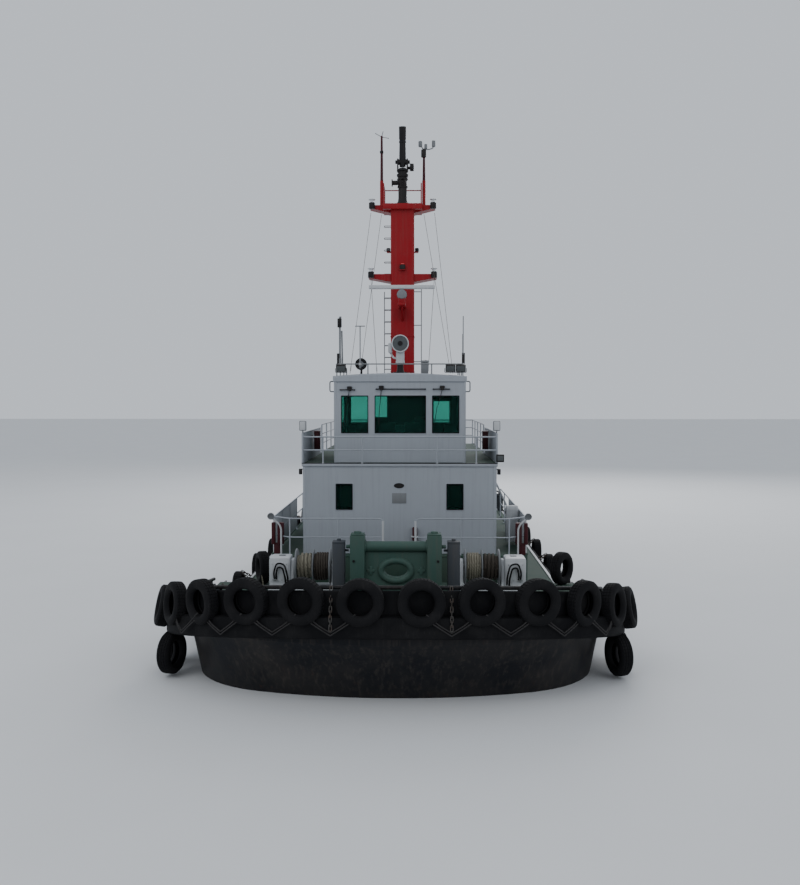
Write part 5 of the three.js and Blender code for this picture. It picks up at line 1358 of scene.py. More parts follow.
def build_wheelhouse(sizes):
    """The wheelhouse walls with windows, wipers and handles, and the console and chairs inside."""
    house = Piece("wheelhouse_walls")
    house.take(soft_part("wheelhouse", 0.006, 1), "white_paint")
    # Columns: wall, start, end, foot, head
    panes = [(on_front(WHEEL_FRONT), start, end, PANE_LOW, PANE_HIGH) for start, end in FRONT_PANES]
    panes += [(on_back(WHEEL_LOW.x), *pane) for pane in REAR_PANES]
    panes += [(on_side(side * WHEEL_HALF, side), start, end, PANE_LOW, PANE_HIGH)
              for _, side in SIDES for start, end in SIDE_PANES]
    for place, start, end, foot, head in panes:
        add_window(house, place, ((start + end) / 2, (foot + head) / 2), (end - start) / 2, (head - foot) / 2, 0.02,
                   sizes.frame_width)
    for _, side in SIDES:
        for x in (WHEEL_FRONT - 0.045, WHEEL_LOW.x + 0.045):
            house.rod((x, side * (WHEEL_HALF - 0.045), BRIDGE_Z), (x, side * (WHEEL_HALF - 0.045), WHEEL_HIGH.z),
                      0.055, "white_paint", 24)
        wall, out = side * (WHEEL_HALF - 0.02), side * 1.99
        house.pipe([(7.36, wall, 6.38), (7.36, out, 6.38), (7.36, out, 6.67), (7.36, wall, 6.67)], 0.016,
                   "post_grey", 8, bend=0.05)
    add_wipers(house)
    house.done(ROOT, ["wheelhouse"])
    for name in ("front", "rear", "port", "starboard"):
        dress_node(f"wheelhouse_{name}_glass", "window_glass")
    inside = Piece("wheelhouse_inside")
    inside.block((6.35, -1.5, BRIDGE_Z + 0.02), (7.25, 1.5, 5.12), "inside_grey", bevel=0.05)
    inside.plate([(6.30, -1.45, 5.10), (7.20, -1.45, 5.22), (7.20, -1.45, 5.10)], (0, 2.9, 0), "inside_grey")
    for y in (-1.05, -0.35, 0.35, 1.05):
        inside.block((6.95, y - 0.22, 5.22), (7.02, y + 0.22, 5.50), "dark_fitting", bevel=0.015)
    for y in (-0.65, 0.65):
        inside.block((5.35, y - 0.26, 4.85), (5.85, y + 0.26, 4.97), "dark_fitting", bevel=0.05)
        inside.block((5.30, y - 0.26, 4.90), (5.42, y + 0.26, 5.62), "dark_fitting", bevel=0.05)
        inside.rod((5.6, y, BRIDGE_Z), (5.6, y, 4.9), 0.07, "inside_grey", 16)
    inside.block((3.3, -1.76, 6.55), (7.4, 1.76, 6.60), "inside_grey", bevel=0.01)
    inside.block((3.31, -1.75, BRIDGE_Z + 0.005), (7.39, 1.75, BRIDGE_Z + 0.02), "inside_grey")
    inside.done(ROOT)


def add_wipers(house):
    """Straight-line wipers: a dark rail over each front window, a pale motor on it and an arm with a blade."""
    # Columns: rail start, rail end, arm top, arm foot (all Y), height of the rail
    table = ((-0.68, 0.74, -0.52, -0.60, 6.45), (-1.70, -1.26, -1.42, -1.60, 6.43), (0.93, 1.42, 1.20, 0.97, 6.45))
    for start, end, arm, foot, z in table:
        x = WHEEL_FRONT + 0.05
        house.rod((x, start, z), (x, end, z), 0.016, "dark_fitting", 10)
        for y in (start + 0.02, end - 0.02):
            house.rod((x - 0.06, y, z), (x + 0.012, y, z), 0.020, "dark_fitting", 10)
        house.block((x - 0.05, arm - 0.07, z + 0.02), (x + 0.02, arm + 0.07, z + 0.10), "dark_fitting", bevel=0.02)
        house.block((x - 0.03, arm - 0.045, z - 0.03), (x + 0.025, arm + 0.045, z + 0.03), "dark_fitting", bevel=0.01)
        house.rod((x - 0.005, arm, z), (x - 0.03, (arm + foot) / 2, z - 0.45), 0.010, "dark_fitting", 6)
        house.rod((x - 0.03, foot * 0.6 + arm * 0.4, 5.98), (x - 0.03, foot, 5.42), 0.009, "dark_fitting", 6)


def build_wheelhouse_roof(sizes):
    """The cambered roof with its rolled edge and the beams under its lip."""
    roof = Piece("wheelhouse_roof_plating")
    front, back, half = ROOF_HIGH.x, ROOF_LOW.x, ROOF_HIGH.y
    camber, steps = 0.085, 12
    rows = []
    for x, narrow, drop in ((back, 0.02, 0.02), (back + 0.02, 0.0, 0.0), (front - 0.10, 0.0, 0.0),
                            (front - 0.03, 0.015, 0.012), (front, 0.06, 0.045)):
        across = [-1 + 2 * i / steps for i in range(steps + 1)]
        top = [(x, t * (half - narrow), ROOF_Z - camber * t * t - drop) for t in across]
        bottom = [(x, t * (half - narrow), ROOF_LOW.z - 0.12) for t in reversed(across)]
        rows.append(top + bottom)
    roof.take(draped_part(rows), "white_paint")
    z = ROOF_LOW.z - 0.11
    roof.pipe([(back + 0.03, -half + 0.03, z), (front - 0.03, -half + 0.03, z), (front - 0.03, half - 0.03, z),
               (back + 0.03, half - 0.03, z), (back + 0.03, -half + 0.03, z)], 0.028, "white_paint", 8, bend=0.10)
    roof.done(ROOT, ["wheelhouse_roof"])


def build_doors():
    """The four side doors with round portlights and kick plates."""
    # Columns: house, half width of the wall, front edge, height of the portlight
    table = (("wheelhouse", WHEEL_HALF, 4.9, 5.85), ("deckhouse", HOUSE_HALF, 2.6, 3.35))
    for house, half, edge, light in table:
        for name, side in SIDES:
            node = f"{house}_{name}_door"
            door = Piece(f"{node}_leaf")
            door.take(soft_part(node, 0.006, 1), "white_paint")
            middle = (edge - 0.38, side * half, light)
            axis = Y_AXIS * side
            door.turned([(0.15, -0.006), (0.20, -0.006), (0.20, 0.014), (0.185, 0.024), (0.16, 0.024), (0.15, 0.010)],
                        middle, axis, "white_paint", 32)
            door.turned([(0.0, 0.001), (0.152, 0.001), (0.152, 0.007), (0.0, 0.007)], middle, axis, "window_glass", 32)
            low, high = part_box(node)
            door.plate([(low.x + 0.05, side * half, low.z + 0.05), (high.x - 0.12, side * half, low.z + 0.05),
                        (high.x - 0.12, side * half, low.z + 0.28), (low.x + 0.05, side * half, low.z + 0.28)],
                       axis * 0.004, "steel")
            door.done(node, [node])


# Mast, radar and fire monitor

MAST_X = 2.5
MAST_HALF = Vector((0.45, 0.385))
CROSSTREE_Z = 10.26
PLATFORM_Z = 12.51
PLATFORM_HALF = Vector((0.60, 0.64))
MAST_RAIL_TOP = 13.15
POLE_X = 2.27


def add_tree(mast, half_deep, half_wide, top, root, tip):
    """A tapered shelf across the mast, thick at its root."""
    x = MAST_X - half_deep
    outline = [(x, -half_wide, top - tip), (x, -MAST_HALF.y, top - root), (x, MAST_HALF.y, top - root),
               (x, half_wide, top - tip), (x, half_wide, top), (x, -half_wide, top)]
    mast.plate(outline, (2 * half_deep, 0, 0), "mast_red", 0.012)


def add_lamp(piece, place, height, radius, lens="clear_lens", cap="dark_fitting"):
    """A round navigation lamp with its foot, lens and cap."""
    x, y, z = place
    piece.turned([(0.0, 0.0), (radius * 0.9, 0.0), (radius, 0.02), (radius, height * 0.30), (0.0, height * 0.30)],
                 (x, y, z), Z_AXIS, cap, 20)
    piece.turned([(0.0, height * 0.30), (radius * 0.82, height * 0.30), (radius * 0.86, height * 0.5),
                  (radius * 0.82, height * 0.72), (0.0, height * 0.72)], (x, y, z), Z_AXIS, lens, 20)
    piece.turned([(0.0, height * 0.72), (radius * 1.02, height * 0.72), (radius * 0.9, height * 0.88),
                  (radius * 0.3, height), (0.0, height)], (x, y, z), Z_AXIS, cap, 20)


def build_mast(sizes):
    """The red mast with its shelf, crosstree, platform, rails, lamps, ladder and poles."""
    mast = Piece("mast_column")
    column = cube_part((MAST_X - MAST_HALF.x, -MAST_HALF.y, BRIDGE_Z), (MAST_X + MAST_HALF.x, MAST_HALF.y, 12.35))
    upright = [e for e in column.edges if abs((e.verts[0].co - e.verts[1].co).normalized().z) > 0.9]
    bmesh.ops.bevel(column, geom=upright, offset=0.085, segments=4, profile=0.5, affect="EDGES", material=-1,
                    offset_type="OFFSET")
    mast.take(column, "mast_red")
    add_tree(mast, 0.35, 1.13, CROSSTREE_Z, 0.26, 0.12)
    add_tree(mast, 0.28, 1.08, PLATFORM_Z, 0.26, 0.09)
    half = PLATFORM_HALF
    mast.block((MAST_X - half.x, -half.y, PLATFORM_Z - 0.18), (MAST_X + half.x, half.y, PLATFORM_Z), "mast_red",
               bevel=0.012)
    mast.block((MAST_X, -0.12, 9.12), (4.26, 0.12, 9.18), "mast_red", bevel=0.012)
    mast.plate([(2.9, -0.03, 8.68), (2.9, -0.03, 9.14), (4.05, -0.03, 9.14), (3.58, -0.03, 8.96)], (0, 0.06, 0),
               "mast_red")
    for z in (7.05, 8.2):
        mast.block((MAST_X - 0.47, -0.40, z), (MAST_X + 0.47, 0.40, z + 0.03), "mast_red", bevel=0.01)
    rail = half - Vector((0.03, 0.03))
    corners = [Vector((MAST_X + x * rail.x, y * rail.y, 0)) for x, y in ((1, -1), (-1, -1), (-1, 1), (1, 1))]
    for place in corners:
        mast.rod(place + Z_AXIS * (PLATFORM_Z - 0.01), place + Z_AXIS * MAST_RAIL_TOP, 0.019, "mast_red", 8)
    mast.pipe([place + Z_AXIS * (MAST_RAIL_TOP - 0.002) for place in corners], 0.019, "mast_red", 8, bend=0.06)
    for _, side in SIDES:
        for x, y, z in ((2.88, 1.03, CROSSTREE_Z), (2.82, 1.00, PLATFORM_Z)):
            mast.rod((x, side * y, z - 0.13), (x, side * y, z + 0.07), 0.10, "dark_fitting", 24, bevel=0.015)
            mast.rod((x, side * y, z + 0.07), (x, side * y, z + 0.15), 0.06, "clear_lens", 20)
            mast.rod((x, side * y, z + 0.15), (x, side * y, z + 0.18), 0.11, "clean_white", 24, bevel=0.01)
        mast.block((2.5, side * 0.37, 10.98), (2.72, side * 0.52, 11.0), "mast_red", bevel=0.004)
        mast.rod((2.62, side * 0.47, 11.0), (2.62, side * 0.47, 11.13), 0.065, "dark_fitting", 20, bevel=0.012)
    mast.block((2.9, -0.10, 10.36), (3.10, 0.10, 10.38), "mast_red", bevel=0.004)
    mast.rod((3.02, 0.0, 10.38), (3.02, 0.0, 10.54), 0.09, "dark_fitting", 24, bevel=0.015)
    mast.rod((3.02, 0.0, 10.54), (3.02, 0.0, 10.58), 0.07, "red_lens", 20, bevel=0.01)
    add_ladder(mast)
    add_poles(mast)
    mast.done(ROOT, ["mast"])


def add_ladder(mast):
    """C-shaped rungs up the starboard side and a short ladder on the port side."""
    x, mast_side, out = 2.62, -0.37, -0.60
    for i in range(13):
        z = 7.15 + 0.39 * i
        mast.pipe([(x - 0.14, mast_side, z), (x - 0.14, out, z), (x + 0.14, out, z), (x + 0.14, mast_side, z)], 0.012,
                  "light_grey", 6, bend=0.05)
    for x0, y, low, high in ((2.62, -0.60, 7.0, 9.7), (2.48, 0.62, 6.95, 9.9), (2.76, 0.62, 6.95, 9.9)):
        mast.rod((x0, y, low), (x0, y, high), 0.014, "light_grey", 8)
    for i in range(8):
        z = 7.15 + 0.34 * i
        mast.rod((2.48, 0.62, z), (2.76, 0.62, z), 0.011, "light_grey", 6)
    for z in (7.4, 8.6, 9.7):
        mast.rod((2.62, 0.38, z), (2.62, 0.62, z), 0.014, "light_grey", 6)


def add_poles(mast):
    """Two poles on the arms: whiskers on the starboard one, a vane and cups on the port one."""
    x, foot = POLE_X, PLATFORM_Z - 0.01
    for y, top in ((-0.7, 14.87), (0.7, 14.30)):
        mast.rod((x, y, foot), (x, y, foot + 0.9), 0.058, "mast_red", 14)
        mast.rod((x, y, foot + 0.88), (x, y, top), 0.050, "maroon", 14, end_radius=0.036)
        mast.rod((x, y, foot), (x, y, foot + 0.10), 0.085, "mast_red", 14, bevel=0.01)
    head = Vector((x, -0.7, 14.84))
    for dx, dy, dz in ((0.0, -0.22, 0.12), (0.05, 0.05, 0.17), (0.0, 0.24, -0.05), (-0.2, 0.0, 0.10)):
        mast.rod(head, head + Vector((dx, dy, dz)), 0.012, "light_grey", 6)
    mast.rod((x, -0.7, 14.30), (x, -0.7, 14.38), 0.062, "dark_fitting", 14, bevel=0.01)
    mast.rod((x, 0.69, 14.16), (x, 0.69, 14.42), 0.085, "dark_fitting", 18, bevel=0.02)
    mast.pipe([(x, 0.60, 14.56), (x, 0.66, 14.44), (x, 0.86, 14.42), (x, 0.99, 14.46), (x, 1.02, 14.56)], 0.020,
              "light_grey", 8, bend=0.05)
    mast.rod((x, 0.58, 14.50), (x, 0.58, 14.70), 0.065, "light_grey", 18, bevel=0.03)
    mast.rod((x, 0.76, 14.44), (x, 0.76, 14.60), 0.050, "light_grey", 18, bevel=0.02)
    mast.rod((x, 1.02, 14.50), (x, 1.02, 14.72), 0.060, "light_grey", 18, bevel=0.03)
    mast.plate([(x - 0.26, 0.76, 14.62), (x, 0.76, 14.59), (x, 0.76, 14.55), (x - 0.26, 0.76, 14.50)], (0, 0.01, 0),
               "light_grey")


def build_stays():
    """Thin wires from the crosstree and the platform down to the wheelhouse roof."""
    stays = Piece("mast_stays")
    # Columns: head and foot of each wire
    table = (
        ((2.5, -1.05, 12.30), (5.0, -1.58, 6.95)), ((2.5, 1.05, 12.30), (5.0, 1.58, 6.95)),
        ((2.5, -0.70, 12.25), (5.4, -1.24, 6.95)), ((2.5, 0.70, 12.25), (5.4, 1.50, 6.95)),
        ((2.6, -1.05, 10.20), (5.0, -0.75, 6.95)), ((2.6, 1.05, 10.20), (5.0, 0.82, 6.95)),
    )
    for head, foot in table:
        stays.rod(head, foot, 0.007, "chain_steel", 6)
        run = (Vector(foot) - Vector(head)).normalized()
        stays.rod(Vector(foot) - run * 0.28, Vector(foot) - run * 0.10, 0.018, "steel", 8)
    stays.done(ROOT)


def build_radar():
    """The radar's round gearcase on its shelf and the scanner that turns on it."""
    x, top, axis = 4.08, 9.62, 9.46
    case = Piece("radar_gearcase_shell")
    case.turned([(0.0, -0.20), (0.10, -0.20), (0.14, -0.185), (0.155, -0.15), (0.155, 0.12), (0.135, 0.165),
                 (0.09, 0.18), (0.0, 0.182)], (x, 0, axis), X_AXIS, "light_grey", 32)
    case.turned([(0.157, -0.01), (0.163, -0.01), (0.163, 0.01), (0.157, 0.01)], (x, 0, axis), X_AXIS, "post_grey", 32)
    case.block((x - 0.16, -0.10, 9.18), (x + 0.14, 0.10, axis), "mast_red", bevel=0.02)
    case.block((x - 0.18, -0.12, 9.18), (x + 0.16, 0.12, 9.205), "mast_red", bevel=0.006)
    case.turned([(0.0, 0.0), (0.075, 0.0), (0.06, 0.03), (0.06, 0.16), (0.0, 0.16)], (x, 0, axis), Z_AXIS,
                "light_grey", 24)
    case.pipe([(x - 0.16, 0.05, 9.30), (x - 0.40, 0.05, 9.24), (3.0, 0.05, 9.19)], 0.014, "hose_rubber", 6, bend=0.05)
    case.done(ROOT, ["radar_gearcase"])
    scanner = Piece("radar_scanner_shell")
    half = 1.04
    section = round_rect(0.08, 0.062, 0.035)
    rows = []
    for y, scale in ((-half, 0.80), (-half + 0.035, 1.0), (half - 0.035, 1.0), (half, 0.80)):
        rows.append([(x + u * scale, y, 9.695 + v * scale) for u, v in section])
    scanner.take(draped_part(rows), "clean_white")
    scanner.turned([(0.0, 0.0005), (0.05, 0.0005), (0.05, 0.03), (0.0, 0.03)], (x, 0, top), Z_AXIS, "light_grey", 24)
    scanner.done("radar", ["radar_scanner"])


def build_monitor():
    """The fire monitor: a stand with valves, a body that turns and a barrel that tilts."""
    x, stand_top, tilt = 2.75, 13.45, Vector((2.75, 0, 13.9))
    stand = Piece("monitor_stand_pipe")
    stand.turned([(0.0, 0.0005), (0.26, 0.0005), (0.26, 0.035), (0.20, 0.05), (0.16, 0.09), (0.14, 0.20),
                  (0.14, 0.55), (0.17, 0.56), (0.17, 0.60), (0.14, 0.61), (0.14, 0.80), (0.18, 0.81), (0.18, 0.85),
                  (0.15, 0.86), (0.15, 0.90), (0.18, 0.905), (0.18, 0.94), (0.0, 0.94)], (x, 0, PLATFORM_Z), Z_AXIS,
                 "dark_fitting", 32)
    add_bolts(stand, [(x + 0.22 * math.cos(a), 0.22 * math.sin(a), PLATFORM_Z + 0.04)
                      for a in (i * math.tau / 8 for i in range(8))], Z_AXIS, 0.018, 0.02, "dark_fitting")
    stand.rod((x, 0, 13.23), (x, -0.36, 13.23), 0.075, "dark_fitting", 20)
    stand.rod((x, -0.32, 13.23), (x, -0.36, 13.23), 0.12, "dark_fitting", 20, bevel=0.008)
    stand.rod((x, -0.12, 13.23), (x, -0.15, 13.23), 0.12, "dark_fitting", 20, bevel=0.008)
    stand.take(pipe_part([Vector((x + 0.20, 0.10 * math.cos(a), 13.23 + 0.10 * math.sin(a)))
                          for a in (i * math.tau / 20 for i in range(20))], 0.012, 6, looped=True), "dark_fitting")
    stand.rod((x + 0.10, 0, 13.23), (x + 0.21, 0, 13.23), 0.02, "dark_fitting", 10)
    stand.done(ROOT, ["monitor_stand"])
    body = Piece("monitor_body_castings")
    body.turned([(0.0, 0.0005), (0.19, 0.0005), (0.19, 0.05), (0.15, 0.07), (0.15, 0.13), (0.19, 0.15), (0.19, 0.19),
                 (0.13, 0.20), (0.12, 0.245), (0.0, 0.245)], (x, 0, stand_top), Z_AXIS, "dark_fitting", 32)
    for _, side in SIDES:
        outline = [(x - 0.11, side * 0.13, 13.58), (x + 0.11, side * 0.13, 13.58), (x + 0.11, side * 0.13, 13.92)]
        outline += [(x + 0.11 * math.cos(a), side * 0.13, 13.91 + 0.11 * math.sin(a))
                    for a in (i * math.pi / 8 for i in range(1, 8))] + [(x - 0.11, side * 0.13, 13.92)]
        body.plate(outline, (0, side * 0.05, 0), "dark_fitting", 0.006)
        body.rod((x, side * 0.175, 13.9), (x, side * 0.24, 13.9), 0.06, "dark_fitting", 20, bevel=0.01)
    body.rod((x, 0.24, 13.73), (x, 0.37, 13.73), 0.125, "dark_fitting", 20, bevel=0.02)
    body.rod((x, 0.17, 13.71), (x, 0.25, 13.71), 0.05, "dark_fitting", 14)
    body.done("monitor_body", ["monitor_body"])
    barrel = Piece("monitor_barrel_pipe")
    lean = Vector((math.sin(0.08), 0, math.cos(0.08)))
    barrel.turned([(0.0, -0.16), (0.08, -0.16), (0.10, -0.14), (0.10, 0.05), (0.112, 0.12), (0.104, 0.60),
                   (0.116, 0.61), (0.116, 0.66), (0.106, 0.67), (0.106, 0.71), (0.114, 0.73), (0.118, 1.08),
                   (0.12, 1.118), (0.10, 1.118), (0.088, 0.85), (0.0, 0.85)], tilt, lean, "dark_fitting", 32)
    barrel.rod(tilt - Y_AXIS * 0.1295, tilt + Y_AXIS * 0.1295, 0.09, "dark_fitting", 24)
    barrel.pipe([tilt + lean * 0.74 + Vector((-0.09, 0, 0)), tilt + lean * 0.60 + Vector((-0.17, 0, 0)),
                 tilt + lean * 0.25 + Vector((-0.17, 0, 0)), tilt + lean * 0.12 + Vector((-0.08, 0, 0))], 0.014,
                "dark_fitting", 8, bend=0.05)
    barrel.done("monitor_barrel", ["monitor_barrel"])


def build_searchlight():
    """The searchlight on the wheelhouse roof: a stand, and a lamp in its yoke that turns."""
    x, z, radius = 6.75, 7.77, 0.25
    stand = Piece("searchlight_stand_pipe")
    stand.turned([(0.0, 0.0005), (0.20, 0.0005), (0.20, 0.03), (0.12, 0.045), (0.095, 0.10), (0.09, 0.26),
                  (0.12, 0.28), (0.12, 0.299), (0.0, 0.299)], (x, 0, ROOF_Z), Z_AXIS, "dark_fitting", 28)
    stand.done(ROOT, ["searchlight_stand"])
    light = Piece("searchlight_lamp")
    light.turned([(0.0, 0.3005), (0.13, 0.3005), (0.13, 0.37), (0.08, 0.40), (0.0, 0.40)], (x, 0, ROOF_Z), Z_AXIS,
                 "clean_white", 28)
    light.block((x - 0.09, -0.12, 7.28), (x + 0.09, 0.12, 7.60), "clean_white", bevel=0.03)
    light.turned([(0.0, -0.22), (0.12, -0.22), (0.21, -0.17), (0.24, -0.08), (0.24, 0.16), (0.25, 0.17), (0.25, 0.215),
                  (0.225, 0.22), (0.215, 0.19), (0.0, 0.185)], (x, 0, z), X_AXIS, "clean_white", 36)
    light.turned([(0.0, 0.186), (0.214, 0.186), (0.214, 0.196), (0.0, 0.206)], (x, 0, z), X_AXIS, "inside_grey", 36)
    light.turned([(0.0, 0.205), (0.07, 0.205), (0.07, 0.216), (0.0, 0.218)], (x, 0, z), X_AXIS, "dark_fitting", 24)
    for i in range(5):
        light.turned([(0.238, -0.06 + 0.04 * i), (0.248, -0.06 + 0.04 * i), (0.248, -0.045 + 0.04 * i),
                      (0.238, -0.045 + 0.04 * i)], (x, 0, z), X_AXIS, "dark_fitting", 36)
    light.block((x - 0.11, -0.35, 7.50), (x + 0.11, -0.235, 7.79), "clean_white", bevel=0.03)
    light.rod((x, -0.26, z - 0.05), (x, -0.20, z - 0.05), 0.05, "dark_fitting", 16)
    light.pipe([(x, -0.29, 7.52), (x, -0.20, 7.36), (x, -0.08, 7.34)], 0.03, "clean_white", 8, bend=0.08)
    light.done("searchlight", ["searchlight"])


def build_roof_gear(sizes):
    """Guard rail, aerials, horn and floodlights on the wheelhouse roof."""
    gear = Piece("roof_rail_pipes")
    top, edge, back, front = 7.16, 1.8, 3.4, 7.5
    radius = 0.018
    for _, side in SIDES:
        path = [(front, 0.0, top), (front, side * edge, top), (back, side * edge, top),
                (back, side * edge, ROOF_Z - 0.08)]
        gear.pipe(path, radius, "light_grey", 8, bend=0.10)
        for x, y in ((front, 0.9), (front, 1.78), (6.0, edge), (4.6, edge)):
            gear.rod((x, side * y, ROOF_Z - 0.08), (x, side * y, top), radius * 0.95, "light_grey", 8)
    for y in (-1.66, 1.43, 1.72):
        add_floodlight(gear, Vector((front + 0.02, y, 7.04)), 0.14)
    # Columns: X, Y, top, pole radius, finish
    poles = ((7.5, -1.69, 8.48, 0.028, "light_grey"), (7.5, -1.12, 8.24, 0.016, "light_grey"),
             (7.2, 1.8, 8.53, 0.014, "light_grey"), (6.9, 1.8, 8.04, 0.014, "light_grey"))
    for x, y, high, pole, finish in poles:
        gear.rod((x, y, top - 0.10), (x, y, high), pole, finish, 10)
        gear.rod((x, y, top - 0.12), (x, y, top + 0.16), pole + 0.012, finish, 10, bevel=0.004)
        gear.block((x - 0.03, y - 0.04, top - 0.04), (x + 0.03, y + 0.04, top + 0.02), "steel", bevel=0.006)
    gear.rod((7.5, -1.26, 8.225), (7.5, -0.98, 8.225), 0.015, "light_grey", 8)
    for dx, y, low, high, thick in ((0.0, -1.70, 8.19, 8.44, 0.062), (-0.05, -1.68, 8.42, 8.50, 0.03),
                                    (-0.03, -1.72, 7.16, 7.46, 0.06), (-0.30, 1.80, 7.20, 7.44, 0.035),
                                    (-0.60, 1.82, 7.16, 7.50, 0.045)):
        gear.rod((7.5 + dx, y, low), (7.5 + dx, y, high), thick, "dark_fitting", 16, bevel=0.01)
    gear.rod((7.45, -1.62, 7.0), (7.45, -1.64, 8.10), 0.022, "light_grey", 10)
    gear.block((7.05, 0.61, ROOF_Z - 0.04), (7.23, 0.81, 7.26), "light_grey", bevel=0.02)
    gear.turned([(0.0, 0.0), (0.13, 0.0), (0.12, 0.05), (0.0, 0.07)], (7.14, 0.71, 7.22), Z_AXIS, "light_grey", 24)
    gear.turned([(0.0, -0.26), (0.035, -0.26), (0.04, -0.10), (0.07, -0.02), (0.13, 0.03), (0.17, 0.05),
                 (0.17, 0.065), (0.15, 0.06), (0.0, -0.02)], (7.36, -1.10, 7.16), X_AXIS, "dark_fitting", 32)
    gear.turned([(0.0, -0.01), (0.11, 0.01), (0.11, 0.02), (0.0, 0.03)], (7.36, -1.10, 7.16), X_AXIS, "light_grey", 28)
    gear.rod((7.2, -1.10, ROOF_Z - 0.05), (7.2, -1.10, 7.16), 0.03, "dark_fitting", 12)
    gear.done(ROOT, ["roof_rail"])


# Bridge deck aft, after deck and stern drives

FUNNEL_X = -2.3
FUNNEL_Y = 0.31


def build_funnels():
    """Two slim red funnels with dark tops, exhaust pipes, louvres and steps."""
    for name, side in SIDES:
        funnel = Piece(f"{name}_funnel_casing")
        funnel.take(soft_part(f"{name}_funnel", 0.02), "mast_red",
                    (("dark_fitting", lambda face: face.calc_center_median().z > 6.49),))
        y = side * FUNNEL_Y
        for i in range(9):
            z = 4.85 + 0.09 * i
            wall = y + side * (0.27 - 0.014 * (z - BRIDGE_Z))
            funnel.plate([(-1.8, wall - side * 0.01, z), (-2.8, wall - side * 0.01, z),
                          (-2.8, wall + side * 0.03, z - 0.05), (-1.8, wall + side * 0.03, z - 0.05)], (0, 0, 0.012),
                         "dark_fitting")
        for i in range(7):
            z = 4.70 + 0.26 * i
            wall = FUNNEL_X + 1.0 - 0.117 * (z - BRIDGE_Z)
            funnel.pipe([(wall - 0.02, y - 0.13, z), (wall + 0.08, y - 0.13, z), (wall + 0.08, y + 0.13, z),
                         (wall - 0.02, y + 0.13, z)], 0.012, "light_grey", 6, bend=0.03)
        for x in (-2.6, -2.1):
            funnel.turned([(0.0, -0.05), (0.136, -0.05), (0.136, 0.0), (0.0, 0.0)], (x - 0.04, y, 6.56), Z_AXIS, "steel", 24)
        funnel.done(ROOT, [f"{name}_funnel"])


def build_liferafts():
    """Liferaft canisters with ribs and straps, on cradles."""
    x, z, half = 0.9, BRIDGE_Z + 0.48, 0.62
    profile = [(0.0, -half), (0.20, -half), (0.27, -half + 0.04), (0.285, -half + 0.10), (0.285, -0.38), (0.30, -0.37),
               (0.30, -0.33), (0.285, -0.32), (0.285, -0.03), (0.30, -0.02)]
    profile += [(r, -h) for r, h in reversed(profile)]
    for name, side in SIDES:
        y = side * 1.70
        raft = Piece(f"{name}_liferaft_canister")
        raft.turned(profile, (x, y, z), X_AXIS, "clean_white", 36)
        for dx in (-0.35, 0.35):
            raft.block((x + dx - 0.04, y - 0.26, BRIDGE_Z), (x + dx + 0.04, y + 0.26, 4.60), "light_grey", bevel=0.012)
            for step in (-0.22, 0.22):
                raft.block((x + dx - 0.04, y + step - 0.05, 4.55), (x + dx + 0.04, y + step + 0.05, 4.70),
                           "light_grey", bevel=0.012)
            raft.turned([(0.300, -0.02), (0.306, -0.02), (0.306, 0.02), (0.300, 0.02)], (x + dx, y, z), X_AXIS,
                        "dark_fitting", 36)
        raft.done(ROOT, [f"{name}_liferaft"])


def build_after_deck(sizes):
    """The after bitt, the towing hook on its post and the capstan."""
    x, top, bar = -10.2, 1.85, 1.50
    bitt = Piece("aft_bitt_steelwork")
    for _, side in SIDES:
        bitt.block((x - 0.2, side * 0.5, MAIN_DECK_Z), (x + 0.2, side * 0.9, top), "gear_green", bevel=0.03)
        bitt.block((x - 0.26, side * 0.44, MAIN_DECK_Z), (x + 0.26, side * 0.96, MAIN_DECK_Z + 0.04), "gear_green",
                   bevel=0.01)
        bitt.rod((x, side * 1.16, bar), (x, side * 1.20, bar), 0.16, "gear_green", 28, bevel=0.008)
        bitt.plate([(x + 0.19, side * 0.69, MAIN_DECK_Z + 0.04), (x + 0.50, side * 0.69, MAIN_DECK_Z + 0.04),
                    (x + 0.19, side * 0.69, top - 0.5)], (0, side * 0.02, 0), "gear_green")
    bitt.rod((x, -1.19, bar), (x, 1.19, bar), 0.13, "gear_green", 32)
    bitt.done(ROOT, ["aft_bitt"])
    post = Piece("hook_post_steelwork")
    post.take(soft_part("hook_post", 0.012), "post_grey")
    post.done(ROOT, ["hook_post"])
    hook = Piece("towing_hook_forging")
    hook.take(soft_part("towing_hook", 0.014), "dark_fitting")
    hook.done("towing_hook", ["towing_hook"])
    base = Piece("capstan_base_casting")
    base.take(soft_part("capstan_base", 0.02), "post_grey")
    base.done(ROOT, ["capstan_base"])
    capstan = Piece("capstan_barrel")
    z = MAIN_DECK_Z + 0.2005
    capstan.turned([(0.0, 0.0), (0.30, 0.0), (0.30, 0.06), (0.28, 0.09), (0.22, 0.16), (0.19, 0.24), (0.185, 0.40),
                    (0.20, 0.48), (0.25, 0.54), (0.27, 0.57), (0.27, 0.60), (0.24, 0.615), (0.0, 0.62)],
                   (-13.2, 0, z), Z_AXIS, "gear_green", 40)
    for i in range(6):
        turn = Matrix.Translation((-13.2, 0, z)) @ Matrix.Rotation(i * math.tau / 6, 4, "Z")
        whelp = [turn @ Vector(p) for p in ((0.18, -0.02, 0.16), (0.235, -0.02, 0.16), (0.20, -0.02, 0.30),
                                             (0.205, -0.02, 0.44), (0.24, -0.02, 0.52), (0.18, -0.02, 0.52))]
        capstan.plate(whelp, turn.to_3x3() @ Vector((0, 0.04, 0)), "gear_green", 0.006)
    capstan.done("capstan", ["capstan"])


